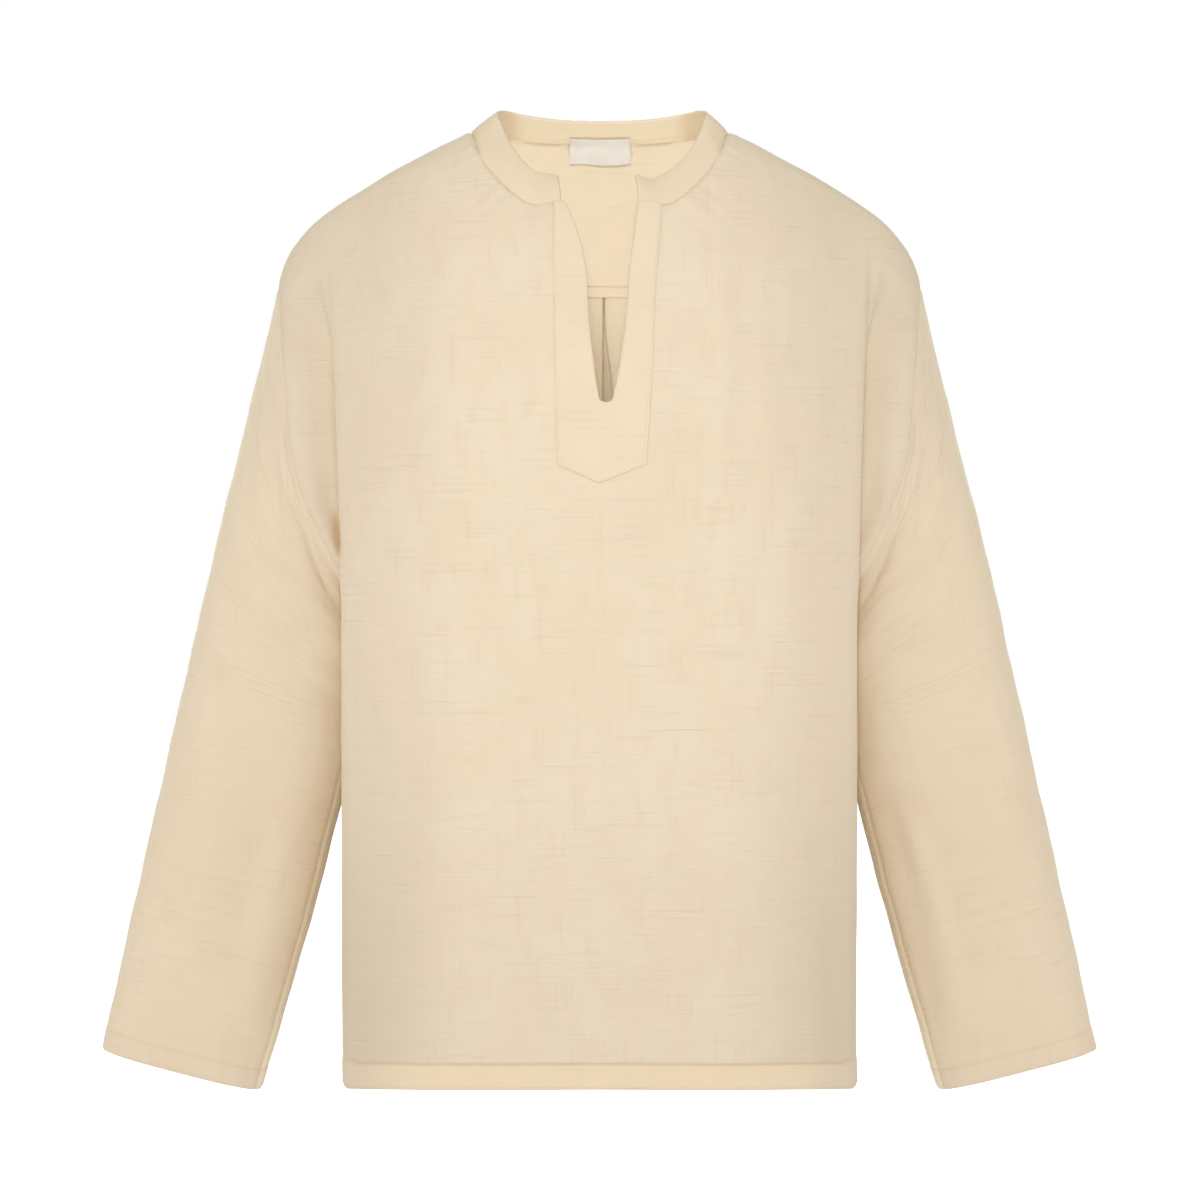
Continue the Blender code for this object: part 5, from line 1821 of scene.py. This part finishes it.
def woven_label(name, colour):
    """Bare woven tape: close ribs across, a firmer line along each selvage."""
    place = cloth_place(name)
    across = place.node("ShaderNodeSeparateXYZ", {}, {"Vector": place})
    rib = place.node("ShaderNodeMath", {"operation": "SINE"}, {0: across.sibling("Y") * (2 * np.pi / RIB)})
    weave = threads(place, 2200, 1500, 1.0)
    cloudy = threads(place, 60, 60, 3.0, 1.0)
    selvage = abs(across).between(*SELVAGE)
    base = blended(cloudy.between(0.3, 0.7) * 0.6 + selvage * 0.3, colour, tinted(colour, WARMER_TAPE))
    height = rib * 0.3 + weave * 0.5 + selvage * 0.4
    close_material(place, base, 0.7 - selvage * 0.08, height, FINE_BUMP, sheen=0.1)


def thread_finish(name, colour):
    """Sewing thread: fine fibres, worn a little darker in places."""
    place = emptied(bpy.data.materials.new(name)).node("ShaderNodeTexCoord", {}, {}, output=3)
    noise = {"Vector": place, "Detail": 2.0, "Roughness": 0.5}
    fibre, worn = (
        place.node("ShaderNodeTexNoise", {}, noise | {"Scale": scale}) for scale in (2400.0, 90.0)
    )
    base = blended(worn.between(0.35, 0.65), colour, tinted(colour, WORN))
    close_material(place, base, 0.62 + fibre * 0.2, fibre, FINE_BUMP, sheen=0.1)


def make_finishes(cloth):
    body, sleeve = (cloth.body, cloth.body_shade), (cloth.sleeve, cloth.sleeve_shade)
    # The body's painted side shade
    side_shade = tinted(cloth.body_shade, SIDE_SHADE_TONE)
    # Both gauzes get a painted sheen on edges turned away from view
    on_body = {"crinkle": 0.16, "slubs": 0.40, "seed": 0.0, "sheen": 0.12, "side_shade": side_shade, "edge_sheen": 0.4}
    on_sleeve = {"crinkle": 0.11, "slubs": 0.22, "seed": 11.0, "sheen": 0.35, "edge_sheen": 1.0}
    gauze("body gauze", *body, bump=cloth.crinkle, **on_body)
    gauze("sleeve gauze", *sleeve, bump=cloth.crinkle, **on_sleeve)
    pressed("pressed gauze", cloth.band, cloth.band_shade, bump=cloth.crinkle * 0.6, seed=5.0)
    woven_label("woven label", cloth.label)
    thread_finish("thread", cloth.thread)


# The stage

CAMERA_PLACE = (0.000385, -3.465, -0.358)
CAMERA_LENS = 135
KEY_PLACE = (-0.06, -3.2, 0.35)
KEY_TARGET = (0.0, 0.0, -0.25)
KEY_SPREAD = np.radians(120)
INSIDE_PLACE = (0.0, -0.02, -0.27)
INSIDE_TARGET = (0.0, 0.068, 0.060)
INSIDE_SPREAD = np.radians(90)


def soft_light(name, place, target, size, power, height=None, spread=np.pi):
    """A soft box that looks from its place toward the target."""
    bpy.ops.object.select_all(action="DESELECT")
    bpy.ops.object.light_add(type="AREA", location=place)
    lamp = bpy.context.object
    lamp.name = name
    lamp.data.shape = "RECTANGLE"
    lamp.data.size = size
    lamp.data.size_y = height or size
    lamp.data.spread = spread
    lamp.data.energy = power
    way = Vector(target) - Vector(place)
    lamp.rotation_euler = way.to_track_quat("-Z", "Y").to_euler()
    return lamp


def make_floor(stage):
    """A plain pale floor that shows as bright as the air behind it."""
    bpy.ops.object.select_all(action="DESELECT")
    bpy.ops.mesh.primitive_plane_add(size=60, location=(0, 0, CAD_LOW[2] - stage.floor_drop))
    floor = bpy.context.object
    floor.name = "floor"
    bpy.ops.object.transform_apply(location=True, rotation=True, scale=True)
    made = bpy.data.materials.new("floor paint")
    paint = emptied(made)
    shades = {
        "Base Color": opaque(stage.floor),
        "Roughness": 0.95,
        "Specular IOR Level": 0.0,
        "Emission Color": paint.node("ShaderNodeLightPath", {}, {}),
        "Emission Strength": 1.0,
    }
    surface = paint.node("ShaderNodeBsdfPrincipled", {}, shades)
    paint.node("ShaderNodeOutputMaterial", {}, {"Surface": surface})
    floor.data.materials.append(made)
    floor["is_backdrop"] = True


def make_lights(stage):
    """The key and the glow inside are small and near; the others are large and far."""
    middle = (0.0, 0.0, (CAD_LOW[2] + CAD_HIGH[2]) / 2)
    soft_light("key", KEY_PLACE, KEY_TARGET, 0.35, stage.key, height=0.5, spread=KEY_SPREAD)
    soft_light("top", (0.0, -0.5, 3.0), middle, 3.0, stage.top)
    glow = soft_light(
        "inside", INSIDE_PLACE, INSIDE_TARGET, 0.16, stage.inside, height=0.08, spread=INSIDE_SPREAD
    )
    glow.visible_camera = False
    soft_light("side_right", (-3.4, -1.8, 0.8), middle, 2.0, stage.side_right)
    soft_light("side_left", (3.4, -1.8, 0.8), middle, 2.0, stage.side_left)
    soft_light("behind", (0.0, 3.6, 0.9), middle, 2.4, stage.behind)


def make_stage(stage):
    """The floor, the lights, the air, which is white to the eye and lights the part less, and the camera."""
    make_floor(stage)
    make_lights(stage)
    world = bpy.data.worlds.new("room")
    air = emptied(world)
    seen = air.node("ShaderNodeLightPath", {}, {})
    strength = seen + (1.0 - seen) * stage.room
    sky = air.node("ShaderNodeBackground", {}, {"Color": (1.0, 1.0, 1.0, 1.0), "Strength": strength})
    air.node("ShaderNodeOutputWorld", {}, {"Surface": sky})
    scene = bpy.context.scene
    scene.world = world
    scene.view_settings.view_transform = "Standard"
    bpy.ops.object.camera_add(location=CAMERA_PLACE, rotation=(np.pi / 2, 0, 0))
    camera = bpy.context.object
    camera.name = "camera"
    camera.data.lens = CAMERA_LENS
    camera.data.sensor_width = 36
    camera.data.dof.use_dof = False
    scene.camera = camera


# The add-on's settings, steps and panel


def length_setting(name, description, default):
    return FloatProperty(name=name, description=description, default=default, min=0.0, unit="LENGTH")


def light_setting(name, description, default):
    return FloatProperty(name=name, description=description, default=default, min=0.0, unit="POWER")


def colour_setting(name, description, default):
    return FloatVectorProperty(
        name=name, description=description, default=default, min=0.0, max=1.0, size=3, subtype="COLOR"
    )


class TunicCloth(bpy.types.PropertyGroup):
    """The cloth's sizes and colours"""

    wall: length_setting("Cloth thickness", "How thick two layers of gauze lie", 0.0010)
    collar_wall: length_setting("Collar thickness", "How thick the folded collar is", 0.0021)
    crinkle: length_setting("Crinkle depth", "How deep the gauze's crinkles are", 0.0003)
    body: colour_setting("Body", "Front, back and yoke", (0.850, 0.722, 0.535))
    body_shade: colour_setting("Body, warmer", "What the body mottles with", (0.835, 0.695, 0.513))
    sleeve: colour_setting("Sleeves", "Both sleeves", (0.824, 0.683, 0.500))
    sleeve_shade: colour_setting("Sleeves, warmer", "What the sleeves mottle with", (0.814, 0.663, 0.480))
    band: colour_setting("Collar and facing", "The pressed double parts", (0.868, 0.726, 0.526))
    band_shade: colour_setting("Collar, warmer", "What the pressed parts mottle with", (0.853, 0.703, 0.505))
    label: colour_setting("Label", "The bare neck label", (0.945, 0.930, 0.880))
    thread: colour_setting("Thread", "The sewing thread", (0.800, 0.655, 0.470))


class TunicStage(bpy.types.PropertyGroup):
    """The room's light and floor"""

    key: light_setting("Key light", "The main light, in front and above", 14.5)
    top: light_setting("Top light", "The light overhead", 8.0)
    inside: light_setting("Inside light", "The glow that comes through the cloth into the hollow", 0.072)
    behind: light_setting("Light behind", "The soft light on the back", 75.0)
    side_right: light_setting("Side light, wearer's right", "The soft light on that side", 30.0)
    side_left: light_setting("Side light, wearer's left", "The soft light on that side", 26.0)
    room: FloatProperty(name="Room light", description="The light from all round", default=0.43, min=0.0)
    floor: colour_setting("Floor", "The plain pale floor", (0.92, 0.92, 0.92))
    floor_drop: length_setting("Floor drop", "How far the floor lies below the hem", 0.72)


class TUNIC_OT_finishes(bpy.types.Operator):
    """Mixes the gauze, the pressed gauze, the label's tape and the thread"""

    bl_idname = "tunic.finishes"
    bl_label = "Finishes"

    def execute(self, context):
        make_finishes(context.scene.tunic_cloth)
        return {"FINISHED"}


class TUNIC_OT_collar(bpy.types.Operator):
    """Folds the band collar and sets it on the neckline"""

    bl_idname = "tunic.collar"
    bl_label = "Collar"

    def execute(self, context):
        make_collar(context.scene.tunic_cloth)
        return {"FINISHED"}


class TUNIC_OT_body(bpy.types.Operator):
    """Cuts the yoke, the back and the front, and hangs them from the neckline"""

    bl_idname = "tunic.body"
    bl_label = "Body"

    def execute(self, context):
        cloth = context.scene.tunic_cloth
        make_yoke(cloth)
        make_back(cloth)
        make_front(cloth)
        return {"FINISHED"}


class TUNIC_OT_sleeves(bpy.types.Operator):
    """Sews both sleeves, each with its underarm seam and turned cuff"""

    bl_idname = "tunic.sleeves"
    bl_label = "Sleeves"

    def execute(self, context):
        for side in ("right", "left"):
            make_sleeve(context.scene.tunic_cloth, side)
        return {"FINISHED"}


class TUNIC_OT_facing(bpy.types.Operator):
    """Lays the pointed facing round the slit"""

    bl_idname = "tunic.facing"
    bl_label = "Slit facing"

    def execute(self, context):
        make_facing(context.scene.tunic_cloth)
        return {"FINISHED"}


class TUNIC_OT_label(bpy.types.Operator):
    """Folds the bare neck label and sews it in"""

    bl_idname = "tunic.label"
    bl_label = "Neck label"

    def execute(self, context):
        make_label(context.scene.tunic_cloth)
        return {"FINISHED"}


class TUNIC_OT_stage(bpy.types.Operator):
    """Puts down the floor, the soft lights and the camera"""

    bl_idname = "tunic.stage"
    bl_label = "Stage"

    def execute(self, context):
        make_stage(context.scene.tunic_stage)
        return {"FINISHED"}


class TUNIC_PT_panel(bpy.types.Panel):
    """The tunic's settings and steps"""

    bl_idname = "TUNIC_PT_panel"
    bl_label = "Gauze tunic"
    bl_space_type = "VIEW_3D"
    bl_region_type = "UI"
    bl_category = "Tunic"

    def draw(self, context):
        for title, settings in (("Cloth", context.scene.tunic_cloth), ("Stage", context.scene.tunic_stage)):
            box = self.layout.box()
            box.label(text=title)
            for name in settings.bl_rna.properties.keys():
                if name not in ("rna_type", "name"):
                    box.prop(settings, name)
        for step in STEPS:
            self.layout.operator(step)


OPERATORS = (
    TUNIC_OT_finishes,
    TUNIC_OT_collar,
    TUNIC_OT_body,
    TUNIC_OT_sleeves,
    TUNIC_OT_facing,
    TUNIC_OT_label,
    TUNIC_OT_stage,
)
STEPS = [made.bl_idname for made in OPERATORS]
CLASSES = (TunicCloth, TunicStage, *OPERATORS, TUNIC_PT_panel)


def register():
    for made in CLASSES:
        bpy.utils.register_class(made)
    bpy.types.Scene.tunic_cloth = PointerProperty(type=TunicCloth)
    bpy.types.Scene.tunic_stage = PointerProperty(type=TunicStage)


def unregister():
    del bpy.types.Scene.tunic_stage
    del bpy.types.Scene.tunic_cloth
    for made in reversed(CLASSES):
        bpy.utils.unregister_class(made)


def main():
    register()
    for step in STEPS:
        group, name = step.split(".")
        getattr(getattr(bpy.ops, group), name)()
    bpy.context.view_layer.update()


if __name__ == "__main__":
    main()
